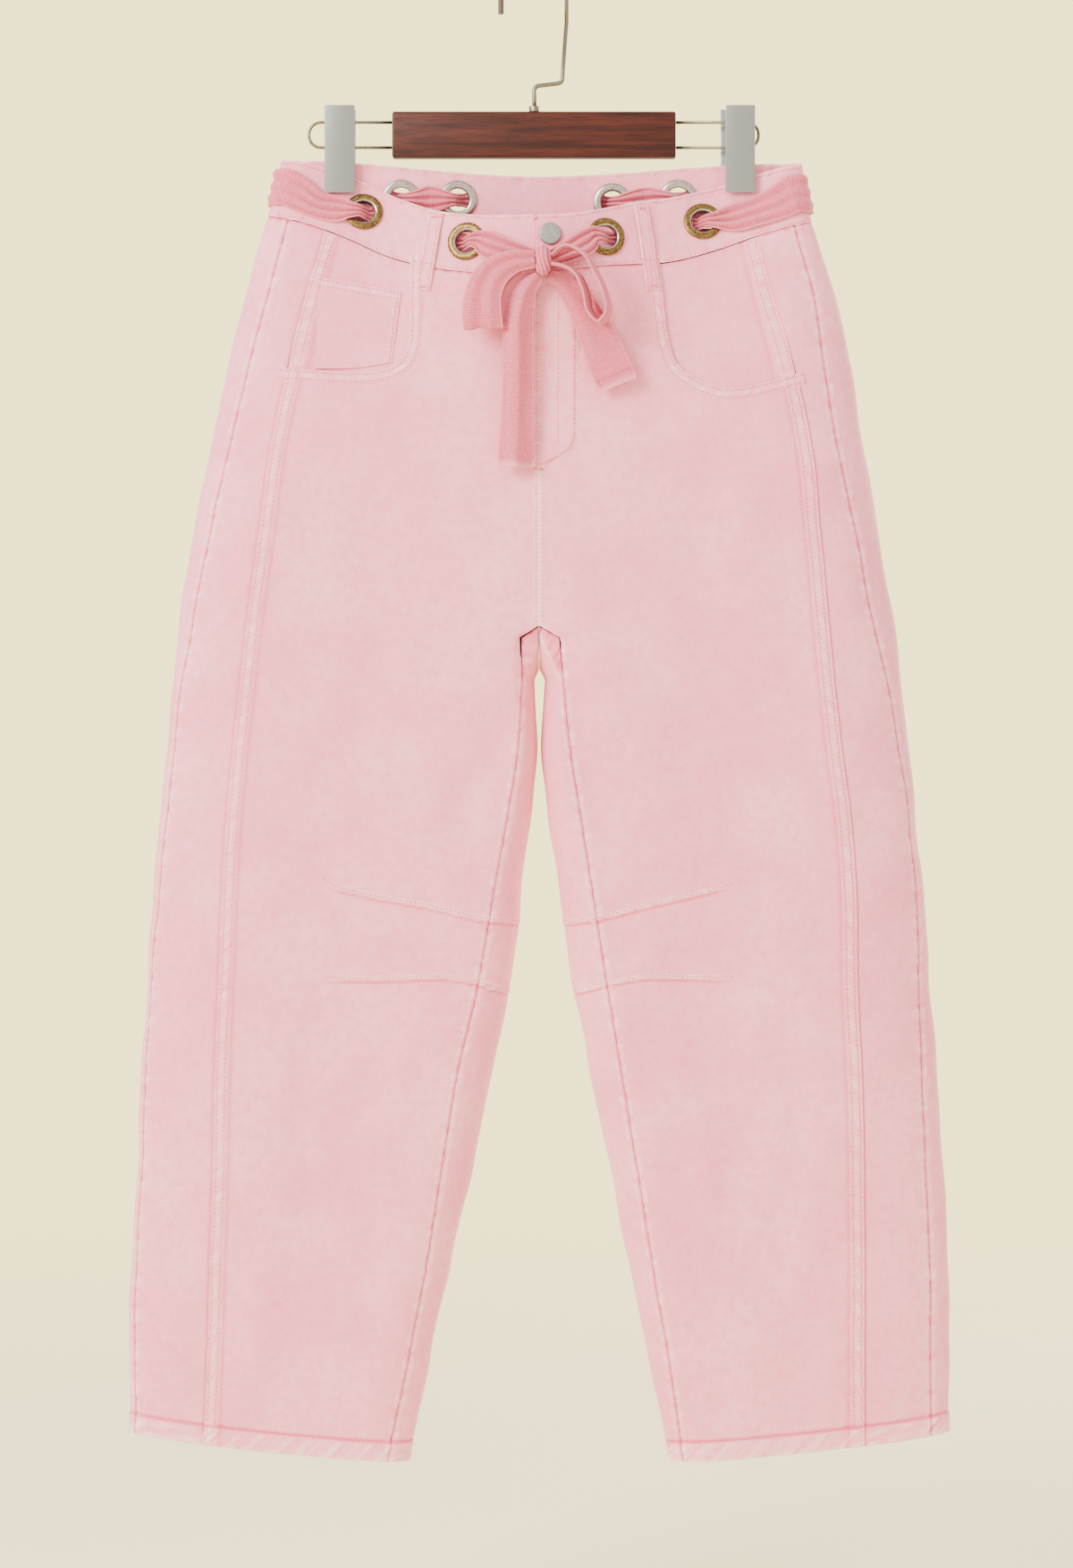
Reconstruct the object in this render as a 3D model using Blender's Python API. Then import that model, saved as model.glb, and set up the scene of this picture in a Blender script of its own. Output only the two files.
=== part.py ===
"""Barrel leg trousers in pink garment-dyed cotton, clipped at the waist to a wood and wire hanger.

The cloth hangs flat from the clips. The front of the waistband sags open between them, and a tape
belt runs through eight eyelets in the band and is tied in a bow. X runs to the wearer's left, the
front faces -Y, Z is up, and the origin is the inside top of the hook.
"""

import functools

import bmesh
import bpy
import numpy as np
from mathutils import Matrix, Vector

for thing in list(bpy.data.objects):
    bpy.data.objects.remove(thing, do_unlink=True)

MM = 0.001

# Driving dimensions in millimetres. A drop is measured down from the inside top of the hook.
GARMENT_X = 2.0  # the garment's centre line, beside the hook's
CLOTH = 1.5
BAND_CLOTH = 2.0
HEM_CLOTH = 3.0
HEM_LIFT = 0.7  # the turned-up hem stands this proud of the leg
SEAM_GAP = 0.3
HALF_GAP = SEAM_GAP / 2  # each piece stops this far short of its seam line
LIFT = 0.6  # what lies on a panel stands this far off it
BAND_TOP = 148.0  # at the side fold
BAND_SEAM = 193.0  # at the side fold
SAG_END = 450.0  # the sag of the waist has died out here
CROTCH = 502.5  # where the four panels' seams cross
CROTCH_CORNER = 512.0  # where the inseam turns down the leg
CROTCH_LOW = 534.0  # the lowest point of the rise seam
HEM_STITCH = 1098.0  # at the side fold
HEM_EDGE = 1114.0  # at the side fold
HEM_DIP = 22.0  # the hem hangs lower at the inner fold by this much
CLIP_IN = 139.0  # the clips press the band flat between these two distances
CLIP_OUT = 164.0
BACK_DIP = 11.0  # sag of the band's back edge at the centre
ROUND_WEIGHT = 14.0  # columns crowd where the cloth turns, by this many millimetres a radian
OVERLAP_EDGE = -2.8  # where the left end of the band laps over the right one

# Half widths from the centre line, a row for each level: the side fold, the two lengthwise seams
# that show on the front, the inseam and the inner fold.
SECTION_COLUMNS = ("drop", "outer", "rear_seam", "front_seam", "inseam", "inner")
RIGHT_SECTIONS = (
    (148, 196.0, 181.0, 154.0, 0.0, 0.0),
    (193, 206.5, 190.0, 162.0, 0.0, 0.0),
    (243, 221.0, 202.6, 175.0, 0.0, 0.0),
    (311, 238.0, 220.2, 190.4, 0.0, 0.0),
    (366, 249.6, 233.4, 201.9, 0.0, 0.0),
    (434, 263.2, 249.2, 211.3, 0.0, 0.0),
    (512, 275.0, 264.6, 221.7, 13.4, 6.5),
    (543, 278.1, 270.5, 225.2, 12.6, 4.0),
    (604, 284.2, 277.6, 231.5, 16.8, 1.4),
    (638, 287.0, 281.0, 234.9, 22.2, 5.2),
    (706, 293.8, 288.5, 239.2, 34.4, 13.6),
    (774, 297.8, 294.5, 242.0, 46.1, 21.8),
    (842, 302.6, 298.5, 245.0, 62.0, 36.0),
    (910, 305.3, 301.5, 246.6, 74.1, 51.0),
    (978, 309.7, 305.5, 249.0, 86.3, 69.0),
    (1046, 311.4, 307.0, 251.3, 100.6, 85.0),
    (1114, 311.4, 306.5, 254.2, 114.9, 98.6),
)
LEFT_SECTIONS = (
    (148, 200.0, 186.0, 158.0, 0.0, 0.0),
    (193, 207.4, 193.5, 165.0, 0.0, 0.0),
    (243, 223.7, 206.0, 175.7, 0.0, 0.0),
    (311, 238.0, 216.2, 193.8, 0.0, 0.0),
    (366, 246.8, 225.0, 205.0, 0.0, 0.0),
    (434, 258.4, 239.8, 212.0, 0.0, 0.0),
    (512, 271.5, 255.0, 219.0, 15.0, 7.0),
    (543, 275.4, 263.4, 222.1, 18.0, 5.0),
    (604, 282.2, 273.6, 228.8, 24.6, 1.2),
    (638, 285.6, 279.0, 233.6, 30.0, 5.8),
    (706, 292.4, 285.5, 238.9, 40.7, 15.3),
    (774, 297.2, 287.8, 239.9, 51.2, 25.5),
    (842, 302.6, 289.8, 243.3, 62.6, 39.4),
    (910, 307.4, 292.5, 245.0, 74.7, 54.7),
    (978, 310.8, 295.9, 245.7, 86.8, 69.7),
    (1046, 312.1, 296.6, 246.0, 99.5, 85.0),
    (1114, 311.4, 297.0, 246.2, 109.3, 100.0),
)

# Depths of the outer face in front of and behind the fold line, and the lengths over which the
# cloth rounds off towards its folds. Centre, clip and side are places across the waist.
DEPTH_COLUMNS = (
    "drop", "front_centre", "front_clip", "front_side",
    "back_centre", "back_clip", "back_side", "outer_round", "inner_round",
)
DEPTHS = (
    (148, 33.0, 2.35, 6.5, 8.0, 2.35, 6.5, 16, 14),
    (156, 33.5, 2.5, 7.0, 8.5, 2.4, 7.0, 16, 14),
    (163, 34.0, 3.2, 7.5, 9.0, 2.5, 7.5, 16, 14),
    (171, 34.5, 6.2, 9.0, 9.5, 3.1, 9.0, 17, 14),
    (180, 35.0, 9.2, 10.5, 10.0, 5.8, 10.0, 18, 14),
    (193, 36.0, 13.0, 13.0, 11.0, 9.2, 11.5, 21, 14),
    (215, 36.0, 18.0, 17.0, 12.5, 12.5, 13.5, 27, 14),
    (243, 36.0, 22.5, 21.5, 14.5, 14.5, 16.0, 35, 14),
    (275, 35.0, 26.0, 26.0, 17.0, 17.0, 18.0, 46, 14),
    (311, 34.0, 30.0, 30.0, 19.0, 19.0, 20.0, 58, 14),
    (366, 33.0, 33.0, 33.0, 21.0, 21.0, 21.0, 66, 14),
    (434, 33.0, 33.0, 33.0, 23.0, 23.0, 23.0, 70, 14),
    (502, 33.0, 33.0, 33.0, 24.0, 24.0, 24.0, 72, 14),
    (543, 32.0, 32.0, 32.0, 24.0, 24.0, 24.0, 72, 16),
    (604, 31.0, 31.0, 31.0, 24.0, 24.0, 24.0, 72, 18),
    (706, 31.0, 31.0, 31.0, 23.0, 23.0, 23.0, 72, 26),
    (842, 27.0, 27.0, 27.0, 20.0, 20.0, 20.0, 66, 34),
    (978, 22.0, 22.0, 22.0, 17.0, 17.0, 17.0, 60, 38),
    (1114, 17.0, 17.0, 17.0, 14.0, 14.0, 14.0, 52, 40),
)

# The front of the waistband: drops of its top edge and its seam, across the garment.
WAIST_COLUMNS = ("x", "top_edge", "seam")
RIGHT_WAIST = (
    (0, 193.5, 238.0),
    (50, 192.4, 236.8),
    (79, 187.5, 232.5),
    (98, 181.0, 228.0),
    (120, 171.5, 220.5),
    (139, 162.5, 211.5),
    (163, 153.5, 202.0),
    (186, 149.0, 195.0),
    (207, 147.0, 191.0),
)
LEFT_WAIST = (
    (0, 193.5, 238.0),
    (25, 192.0, 234.5),
    (50, 187.5, 231.5),
    (71, 182.0, 230.0),
    (98, 177.5, 227.5),
    (135, 168.5, 217.5),
    (171, 157.0, 205.0),
    (207, 149.5, 195.5),
)

# Broad folds of the hanging cloth: the middle of each, its half length and half width, its lean
# from the vertical towards the side in degrees, and how far it stands out or in.
# Columns: x, drop, half length, half width, lean, height.
FRONT_FOLDS = {
    "right": (
        (62, 560, 120, 26, 18, 2.6),
        (120, 470, 130, 30, 10, -2.2),
        (205, 720, 150, 28, -3, 2.4),
        (150, 860, 130, 30, 5, -2.4),
        (215, 960, 120, 24, -4, 2.0),
        (110, 1010, 90, 24, 6, 1.8),
    ),
    "left": (
        (58, 555, 110, 24, 20, 2.8),
        (128, 500, 140, 28, 12, -2.0),
        (190, 690, 140, 30, -4, 2.2),
        (135, 830, 120, 28, 8, -2.6),
        (225, 900, 140, 24, -2, 2.2),
        (150, 1010, 90, 26, 4, 1.8),
    ),
}
BACK_FOLDS = {
    "right": (
        (70, 590, 110, 28, 16, 2.4),
        (150, 430, 120, 34, 8, -2.4),
        (210, 700, 140, 30, -3, 2.4),
        (140, 900, 130, 30, 5, -2.2),
    ),
    "left": (
        (74, 600, 120, 28, 14, 2.4),
        (140, 440, 120, 32, 9, -2.4),
        (200, 740, 140, 28, -4, 2.2),
        (150, 880, 120, 30, 4, -2.2),
    ),
}

# Edges of the scooped pocket openings, from the waist seam round to the front seam.
# Columns: x, drop.
SCOOPS = {
    "right": ((97, 222), (97, 262), (97.5, 284), (101, 298), (110, 307), (128, 311.5), (152, 311.5),
              (182, 309.5), (196, 309)),
    "left": ((90, 222), (94, 262), (97, 285), (103, 304), (117, 316), (137, 323.5), (160, 322),
             (184, 316), (198, 312)),
}

TORSO_ROWS = (193, 208, 226, 248, 274, 303, 335, 370, 408, 440, 472, CROTCH)
LEG_ROWS = (
    CROTCH_CORNER, 543, 585, 630, 680, 730, 780, 830, 880, 930, 980, 1030, 1070,
    HEM_STITCH, HEM_STITCH + 2.5, HEM_EDGE,
)
FRONT_SPANS = 10
SIDE_SPANS = 2
BACK_SPANS = 12
FORK_SPANS = 5
BAND_SPANS = 14
BAND_TURN_SPANS = 4
BAND_ROWS = (0.0, 0.25, 0.5, 0.75, 1.0)

EYELET_RADIUS = 14.5
EYELET_INNER = 8.6
EYELET_HOLE = 9.6
EYELET_SEAT = 2.2  # half the distance between the flanges, which clear the curve of the band
EYELET_FLANGE = 1.3
EYELET_FLAT = 15.5  # the band stays flat this far from an eyelet's centre
EYELET_FADE = 10.0
# Columns: face, x, drop.
EYELETS = {
    "front_right_inner": ("front", -54.8, 212.9),
    "front_right_outer": ("front", -133.2, 188.0),
    "front_left_inner": ("front", 50.2, 209.6),
    "front_left_outer": ("front", 124.0, 195.5),
    "back_right_inner": ("back", -62.0, 177.0),
    "back_right_outer": ("back", -105.0, 176.5),
    "back_left_inner": ("back", 56.0, 179.0),
    "back_left_outer": ("back", 106.0, 176.5),
}

BUTTON = (8.2, 208.5)  # x and drop
BUTTON_RADIUS = 8.5
BUTTON_THICKNESS = 2.2

# Belt loops: the face, x and drop of the top and of the bottom end, and how far they stand off.
BELT_LOOPS = {
    "front_right": ("front", (-77.5, 190.5), (-87.5, 250.0), 1.2),
    "front_left": ("front", (76.4, 183.5), (86.2, 250.0), 1.2),
    "back_right": ("back", (-85.0, 156.5), (-85.0, 213.0), 1.2),
    "back_centre": ("back", (0.0, 161.0), (0.0, 219.0), 5.2),
    "back_left": ("back", (82.5, 156.5), (82.5, 213.0), 1.2),
}

# The belt from the knot to the centre back: on a face, at x and drop, its middle stands off the
# band's outer face, and its width. An eyelet row says whether the belt goes in there. The turn
# row is at the side fold and has no x. Columns: face, x, drop, stand-off, width.
TAPE = 2.2
BELT_ROUTES = {
    "right": (
        ("front", 1.1, 229.0, 5.0, 12.0),
        ("front", 24.0, 222.0, 5.0, 19.0),
        ("front", 38.0, 216.5, 5.0, 20.0),
        ("eyelet", "front_right_inner", True),
        ("front", 80.0, 206.0, -4.2, 24.0),
        ("front", 103.0, 198.0, -4.2, 23.0),
        ("front", 116.0, 194.0, -4.5, 13.0),
        ("eyelet", "front_right_outer", False),
        ("front", 151.0, 187.0, 2.4, 20.0),
        ("front", 167.0, 184.0, 1.9, 20.5),
        ("front", 182.0, 174.5, 1.9, 27.0),
        ("turn", 169.0, 2.7, 28.0),
        ("back", 184.0, 174.0, 2.1, 27.0),
        ("back", 166.0, 185.0, 2.4, 20.0),
        ("back", 139.0, 185.5, 2.6, 16.0),
        ("eyelet", "back_right_outer", True),
        ("back", 85.0, 177.0, -4.2, 20.0),
        ("eyelet", "back_right_inner", False),
        ("back", 38.0, 178.0, 2.6, 24.0),
        ("back", 18.0, 180.0, 1.8, 28.0),
        ("back", 0.0, 181.0, 1.8, 29.0),
    ),
    "left": (
        ("front", 7.1, 228.5, 5.0, 12.0),
        ("front", 24.0, 221.0, 5.0, 17.0),
        ("front", 34.0, 215.5, 5.0, 19.0),
        ("eyelet", "front_left_inner", True),
        ("front", 76.0, 206.0, -4.2, 24.0),
        ("front", 98.0, 200.0, -4.2, 24.0),
        ("eyelet", "front_left_outer", False),
        ("front", 146.0, 194.0, 2.4, 21.0),
        ("front", 165.0, 188.5, 1.9, 24.0),
        ("front", 184.0, 180.5, 1.9, 27.0),
        ("turn", 174.0, 2.7, 29.0),
        ("back", 186.0, 176.0, 2.1, 27.0),
        ("back", 169.0, 185.5, 2.4, 20.0),
        ("back", 139.0, 185.5, 2.6, 16.0),
        ("eyelet", "back_left_outer", True),
        ("back", 82.0, 178.0, -4.2, 20.0),
        ("eyelet", "back_left_inner", False),
        ("back", 36.0, 180.0, 2.6, 24.0),
        ("back", 18.0, 181.0, 1.8, 28.0),
        ("back", 0.0, 181.0, 1.8, 29.0),
    ),
}

# The bow. Each row is a place on the tape, its width, the direction across it and the height of
# its lengthwise crease. Columns: x, y, drop, width, across in x, y and drop, crease.
KNOT_CENTRE = Vector((3.0, -48.5, -230.5))
KNOT_RADII = Vector((6.8, 8.6, 12.5))
BOW = {
    "bow_loop_right": (
        (-3.7, -52.5, 230.0, 12, 0.0, 0.0, 1.0, 0),
        (-19.0, -54.5, 232.0, 17, -0.2, 0.0, 1.0, 0),
        (-34.0, -57.0, 241.0, 24, 0.6, 0.0, 0.8, 0),
        (-41.5, -58.5, 256.0, 27, 1.0, 0.0, 0.2, 0),
        (-42.5, -58.5, 271.0, 29, 1.0, 0.0, 0.0, 0),
        (-41.5, -54.0, 281.5, 29, 1.0, 0.0, 0.0, 0),
        (-41.0, -48.5, 274.0, 28, 1.0, 0.0, 0.0, 0),
        (-40.0, -46.8, 258.0, 25, 1.0, 0.0, 0.2, 0),
        (-27.0, -46.8, 241.5, 15, 0.7, 0.0, 0.7, 0),
        (-14.0, -46.8, 235.0, 11, 0.2, 0.0, 1.0, 0),
        (-5.2, -46.8, 232.0, 11, 0.0, 0.0, 1.0, 0),
    ),
    "bow_loop_left": (
        (9.9, -51.5, 226.5, 10, 0.1, 1.0, 0.0, 0),
        (21.0, -54.5, 220.5, 17, 0.2, 1.0, 0.0, 0),
        (33.0, -57.0, 226.0, 22, 0.2, 1.0, 0.0, 0),
        (43.0, -58.5, 241.0, 25, 0.2, 1.0, 0.0, 0),
        (50.5, -58.5, 259.0, 25, 0.2, 1.0, 0.0, 0),
        (51.0, -58.5, 271.0, 25, 0.2, 1.0, 0.0, 0),
        (45.0, -58.5, 277.0, 25, 0.2, 1.0, 0.0, 0),
        (38.5, -58.5, 270.0, 25, 0.2, 1.0, 0.0, 0),
        (35.0, -58.0, 255.0, 24, 0.2, 1.0, 0.0, 0),
        (29.0, -56.0, 242.0, 20, 0.2, 1.0, 0.0, 0),
        (19.0, -53.5, 235.5, 14, 0.1, 1.0, 0.0, 0),
        (9.9, -51.5, 233.0, 9, 0.1, 1.0, 0.0, 0),
    ),
    "bow_tail_right": (
        (-0.5, -49.7, 242.2, 8, 1.0, 0.0, 0.0, 0.3),
        (-9.0, -49.7, 252.0, 15, 1.0, 0.0, 0.4, 3),
        (-14.0, -48.5, 266.0, 21, 1.0, 0.0, 0.1, 6),
        (-15.5, -47.5, 300.0, 23, 1.0, 0.1, 0.0, 7),
        (-16.0, -45.5, 340.0, 24, 1.0, 0.1, 0.0, 6),
        (-17.5, -44.0, 384.0, 27, 1.0, 0.1, 0.0, 5),
    ),
    "bow_tail_left": (
        (7.2, -46.0, 241.6, 9, 0.8, 0.0, -0.5, 0),
        (17.0, -43.2, 246.0, 13, 0.8, 0.0, -0.6, 0),
        (28.0, -42.6, 258.0, 19, 0.9, 0.0, -0.6, 1),
        (41.0, -42.4, 281.0, 26, 0.9, 0.0, -0.6, 1),
        (52.5, -42.4, 307.0, 31, 0.9, 0.0, -0.45, 1),
        (59.0, -43.0, 323.0, 34, 0.92, 0.0, -0.38, 1),
    ),
}

# The hanger, with its heights as z
HOOK_X = -2.0
HOOK_BEND = 25.0
HOOK_WIRE = 1.7  # radius
STEM_X = -1.7
COLLAR_TOP = -106.8
BAR_TOP = -111.5
BAR_HEIGHT = 34.8
BAR_DEPTH = 12.0
BAR_END = (-109.5, 105.8)
FRAME_WIRE = 1.15  # radius
FRAME_TOP = -119.0
FRAME_LOW = -138.2
FRAME_REACH = {"right": -173.0, "left": 169.0}
CLIPS = {"right": (-149.3, 23.0), "left": (154.6, 22.4)}  # middle, width
CLIP_TOP = -107.5
CLIP_LOW = -173.4
CLIP_GRIP = 3.9  # the jaws' lips press the band from this far in front and behind
BACK_JAW_SHIFT = {"right": 0.0, "left": -3.0}


# Reading the tables

def smoothstep(t):
    t = np.clip(t, 0.0, 1.0)
    return t * t * (3 - 2 * t)


def curve_through(knots, values, at):
    """Cubic through a table's rows, with the slopes of its neighbours."""
    knots = np.asarray(knots, float)
    values = np.asarray(values, float)
    slopes = np.gradient(values, knots)
    at = np.clip(np.asarray(at, float), knots[0], knots[-1])
    i = np.clip(np.searchsorted(knots, at) - 1, 0, len(knots) - 2)
    span = knots[i + 1] - knots[i]
    t = (at - knots[i]) / span
    rise = t * t * (3 - 2 * t)
    leaving = t * (1 - t) ** 2 * span * slopes[i]
    arriving = t * t * (t - 1) * span * slopes[i + 1]
    return values[i] * (1 - rise) + values[i + 1] * rise + leaving + arriving


def read(rows, columns, name, at):
    """The named column of a table, at a value of its first column."""
    place = columns.index(name)
    return curve_through([row[0] for row in rows], [row[place] for row in rows], at)


def section_value(side, name, drop):
    return read(RIGHT_SECTIONS if side == "right" else LEFT_SECTIONS, SECTION_COLUMNS, name, drop)


def depth_value(name, drop):
    return read(DEPTHS, DEPTH_COLUMNS, name, drop)


# The cloth's outer face, as a depth and a height over the distance from the centre line

def quarter_round(t):
    """Rises from 0 to 1 as a quarter of an ellipse, then stays at 1."""
    t = np.clip(t, 0.0, 1.0)
    return np.sqrt(1 - (1 - t) ** 2)


def fold_height(folds, x, drop):
    total = 0.0
    for middle_x, middle_drop, half_length, half_width, lean, height in folds:
        slope = np.tan(np.radians(lean))
        along = (drop - middle_drop) / half_length
        across = (x - middle_x - slope * (drop - middle_drop)) / half_width
        total = total + height * np.exp(-along * along - across * across)
    return total


def free_depth(side, face, x, drop):
    """The depth of the outer face where no eyelet stiffens the cloth."""
    centre = depth_value(face + "_centre", drop)
    clip = depth_value(face + "_clip", drop)
    lobe = depth_value(face + "_side", drop)
    outer = section_value(side, "outer", drop)
    middle_share = np.cos(np.pi / 2 * np.clip(x / CLIP_IN, 0, 1)) ** 2
    side_share = smoothstep((x - CLIP_OUT) / 22)
    depth = clip + (centre - clip) * middle_share + (lobe - clip) * side_share
    folds = FRONT_FOLDS if face == "front" else BACK_FOLDS
    depth = depth + fold_height(folds[side], x, drop)
    depth = depth * quarter_round((outer - x) / depth_value("outer_round", drop))
    below = drop > CROTCH + 1
    inner = section_value(side, "inner", drop)
    rounding = quarter_round((x - inner) / depth_value("inner_round", drop))
    return depth * np.where(below, rounding, 1.0)


@functools.cache
def eyelet_plane(name):
    """The flat of the band round an eyelet: its place, depth and slopes across and down."""
    face, signed_x, real_drop = EYELETS[name]
    side = "right" if signed_x < 0 else "left"
    middle = abs(signed_x)
    level = level_of(side, face, middle, real_drop)
    reach = EYELET_RADIUS * 0.8
    up, down = (free_depth(side, face, middle, level + step) for step in (-reach, reach))
    inward, outward = (free_depth(side, face, middle + step, level) for step in (-reach, reach))
    depth = (up + down + inward + outward) / 4
    return middle, level, depth, (outward - inward) / (2 * reach), (down - up) / (2 * reach)


def outer_depth(side, face, x, drop):
    """How far the outer face stands from the fold line, at a distance x from the centre."""
    depth = free_depth(side, face, x, drop)
    for name in EYELETS:
        if name.startswith(f"{face}_{side}"):
            middle, level, middle_depth, across, down = eyelet_plane(name)
            plane = middle_depth + (x - middle) * across + (drop - level) * down
            away = np.hypot(x - middle, 1.08 * (drop - level))
            depth = depth + (plane - depth) * (1 - smoothstep((away - EYELET_FLAT) / EYELET_FADE))
    return depth


def waist_drops(side, face, x):
    """Drops of the band's top edge and of its seam, above a point of the waist."""
    table = RIGHT_WAIST if side == "right" else LEFT_WAIST
    if face == "front":
        return read(table, WAIST_COLUMNS, "top_edge", x), read(table, WAIST_COLUMNS, "seam", x)
    _, side_top, side_seam = table[-1]
    share = np.cos(np.pi / 2 * np.clip(x / table[-1][0], 0, 1)) ** 2
    top = side_top + (BAND_TOP + BACK_DIP - side_top) * share
    return top, side_seam + (BAND_SEAM + BACK_DIP - side_seam) * share


def height_at(side, face, x, drop):
    """The real height of a point whose level is named by its drop at the side fold."""
    top, seam = waist_drops(side, face, x)
    in_band = top + (seam - top) * (drop - BAND_TOP) / (BAND_SEAM - BAND_TOP)
    fade = np.clip((SAG_END - drop) / (SAG_END - BAND_SEAM), 0, 1) ** 1.5
    below = drop + (seam - BAND_SEAM) * fade
    outer = section_value(side, "outer", HEM_EDGE)
    inner = section_value(side, "inner", HEM_EDGE)
    inward = np.clip((outer - x) / (outer - inner), 0, 1)
    dip = HEM_DIP * (1.45 * inward - 0.45 * inward**2) * smoothstep((drop - 800) / 280)
    return -np.where(drop < BAND_SEAM, in_band, below + dip)


def level_of(side, face, x, drop):
    """The level that passes through a real drop, found by halving."""
    low = np.full(np.shape(drop), BAND_TOP - 6.0)
    high = np.full(np.shape(drop), HEM_EDGE)
    for _ in range(22):
        middle = (low + high) / 2
        above = -height_at(side, face, x, middle) < drop
        low = np.where(above, middle, low)
        high = np.where(above, high, middle)
    return (low + high) / 2


def points_on(face, x, drop):
    """Points of the outer face at signed distances x and real drops."""
    x, drop = np.broadcast_arrays(np.asarray(x, float), np.asarray(drop, float))
    depth = np.zeros(x.shape)
    for side, here in (("right", x < 0), ("left", x >= 0)):
        level = level_of(side, face, np.abs(x), drop)
        depth = np.where(here, outer_depth(side, face, np.abs(x), level), depth)
    return np.stack([x, -depth if face == "front" else depth, -drop], axis=-1)


def normals_on(face, x, drop):
    """The ways out of the cloth at those points."""
    step = 1.5
    across = points_on(face, x + step, drop) - points_on(face, x - step, drop)
    down = points_on(face, x, drop + step) - points_on(face, x, drop - step)
    normals = np.cross(down, across)
    outward = -1.0 if face == "front" else 1.0
    normals *= np.sign(normals[..., 1:2]) * outward
    return normals / np.linalg.norm(normals, axis=-1, keepdims=True)


# Sections and panels

def face_points(side, face, x, drop):
    """Points of the outer face at one level, at distances x from the centre line."""
    x = np.asarray(x, float)
    depth = outer_depth(side, face, x, drop)
    height = height_at(side, face, x, drop)
    return np.stack([x, -depth if face == "front" else depth, height], axis=1)


def section_loop(side, drop):
    """The outline of one leg or half of the torso, from its front inner end round to its back."""
    outer = section_value(side, "outer", drop)
    flat_end = outer - depth_value("outer_round", drop)
    turn = np.linspace(0, np.pi / 2, 14)
    is_leg = drop > CROTCH + 1
    start = section_value(side, "inseam", drop) if is_leg else 0.0
    across = np.concatenate([
        np.linspace(start, flat_end, 50)[:-1], flat_end + (outer - flat_end) * np.sin(turn),
    ])
    front = face_points(side, "front", across, drop)
    if not is_leg:
        return np.concatenate([front, face_points(side, "back", across[-2::-1], drop)]), len(front)
    inner = section_value(side, "inner", drop)
    inner_round = depth_value("inner_round", drop)
    behind = across[-2::-1]
    inner_turn = inner + inner_round * (1 - np.sin(turn))
    behind = np.concatenate([behind[behind > inner + inner_round], inner_turn])
    ahead = inner_turn[::-1][1:]
    ahead = np.append(ahead[ahead < start - 0.01], start)
    return np.concatenate([
        front, face_points(side, "back", behind, drop), face_points(side, "front", ahead, drop),
    ]), len(front)


def running_length(points):
    steps = np.linalg.norm(np.diff(points, axis=0), axis=1)
    return np.concatenate([[0.0], np.cumsum(steps)])


def running_weight(points):
    """Length along the outline, plus a share for each turn of it."""
    steps = np.diff(points[:, :2], axis=0)
    heading = np.unwrap(np.arctan2(steps[:, 1], steps[:, 0]))
    turning = np.abs(np.diff(heading, prepend=heading[0]))
    lengths = np.linalg.norm(steps, axis=1)
    return np.concatenate([[0.0], np.cumsum(lengths + ROUND_WEIGHT * turning)])


def spread(points, start, end, spans):
    """Points along the outline between two lengths, closer together where it turns."""
    length = running_length(points)
    weight = running_weight(points)
    ends = np.interp([start, end], length, weight)
    at = np.interp(np.linspace(*ends, spans + 1), weight, length)
    return np.stack([np.interp(at, length, points[:, k]) for k in range(3)], axis=1)


def leg_row(side, drop):
    """One level of a half of the garment, as the columns of its four parts."""
    points, front_count = section_loop(side, drop)
    length = running_length(points)
    on_front = points[:front_count, 0]
    at_front_seam = np.interp(section_value(side, "front_seam", drop), on_front, length[:front_count])
    at_rear_seam = np.interp(section_value(side, "rear_seam", drop), on_front, length[:front_count])
    is_leg = drop > CROTCH + 1
    corner = length[-1]
    if is_leg:
        inner = float(section_value(side, "inner", drop))
        corner_x = inner + min(9.0, 0.12 * (drop - CROTCH) + 0.4)
        behind = slice(front_count, front_count + int(np.argmin(points[front_count:, 0])) + 1)
        corner = np.interp(-corner_x, -points[behind, 0], length[behind])
    back_end = corner if is_leg else corner - HALF_GAP
    row = {
        "front": spread(points, HALF_GAP, at_front_seam - HALF_GAP, FRONT_SPANS),
        "side": spread(points, at_front_seam + HALF_GAP, at_rear_seam - HALF_GAP, SIDE_SPANS),
        "back": spread(points, at_rear_seam + HALF_GAP, back_end, BACK_SPANS),
    }
    if is_leg:
        row["fork"] = spread(points, corner, length[-1] - HALF_GAP, FORK_SPANS)
    return row


def rise_seam(back_end):
    """The seam under the crotch, from the centre back round to the centre front."""
    t = np.linspace(0, 1, FORK_SPANS + 1)
    front_y = -float(depth_value("front_centre", CROTCH)) + 1.2
    y = back_end[1] + (front_y - back_end[1]) * t
    z = back_end[2] - (CROTCH_LOW - CROTCH) * np.sin(np.pi * t) ** 0.8
    z[-1] = -CROTCH - 1.2
    x = np.full_like(t, HALF_GAP)
    return np.stack([x, y, z], axis=1)


def vertex_normals(grid, used):
    """Mean normal of the used cells round each point of a grid, outward on the +X side."""
    normals = np.zeros_like(grid)
    across = grid[:-1, 1:] - grid[:-1, :-1] + grid[1:, 1:] - grid[1:, :-1]
    down = grid[1:, :-1] - grid[:-1, :-1] + grid[1:, 1:] - grid[:-1, 1:]
    cells = np.cross(down, across) * used[:, :, None]
    for i in (0, 1):
        for j in (0, 1):
            rows = slice(i, i + used.shape[0])
            columns = slice(j, j + used.shape[1])
            normals[rows, columns] += cells
    size = np.linalg.norm(normals, axis=2, keepdims=True)
    return normals / np.where(size > 0, size, 1)


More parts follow.
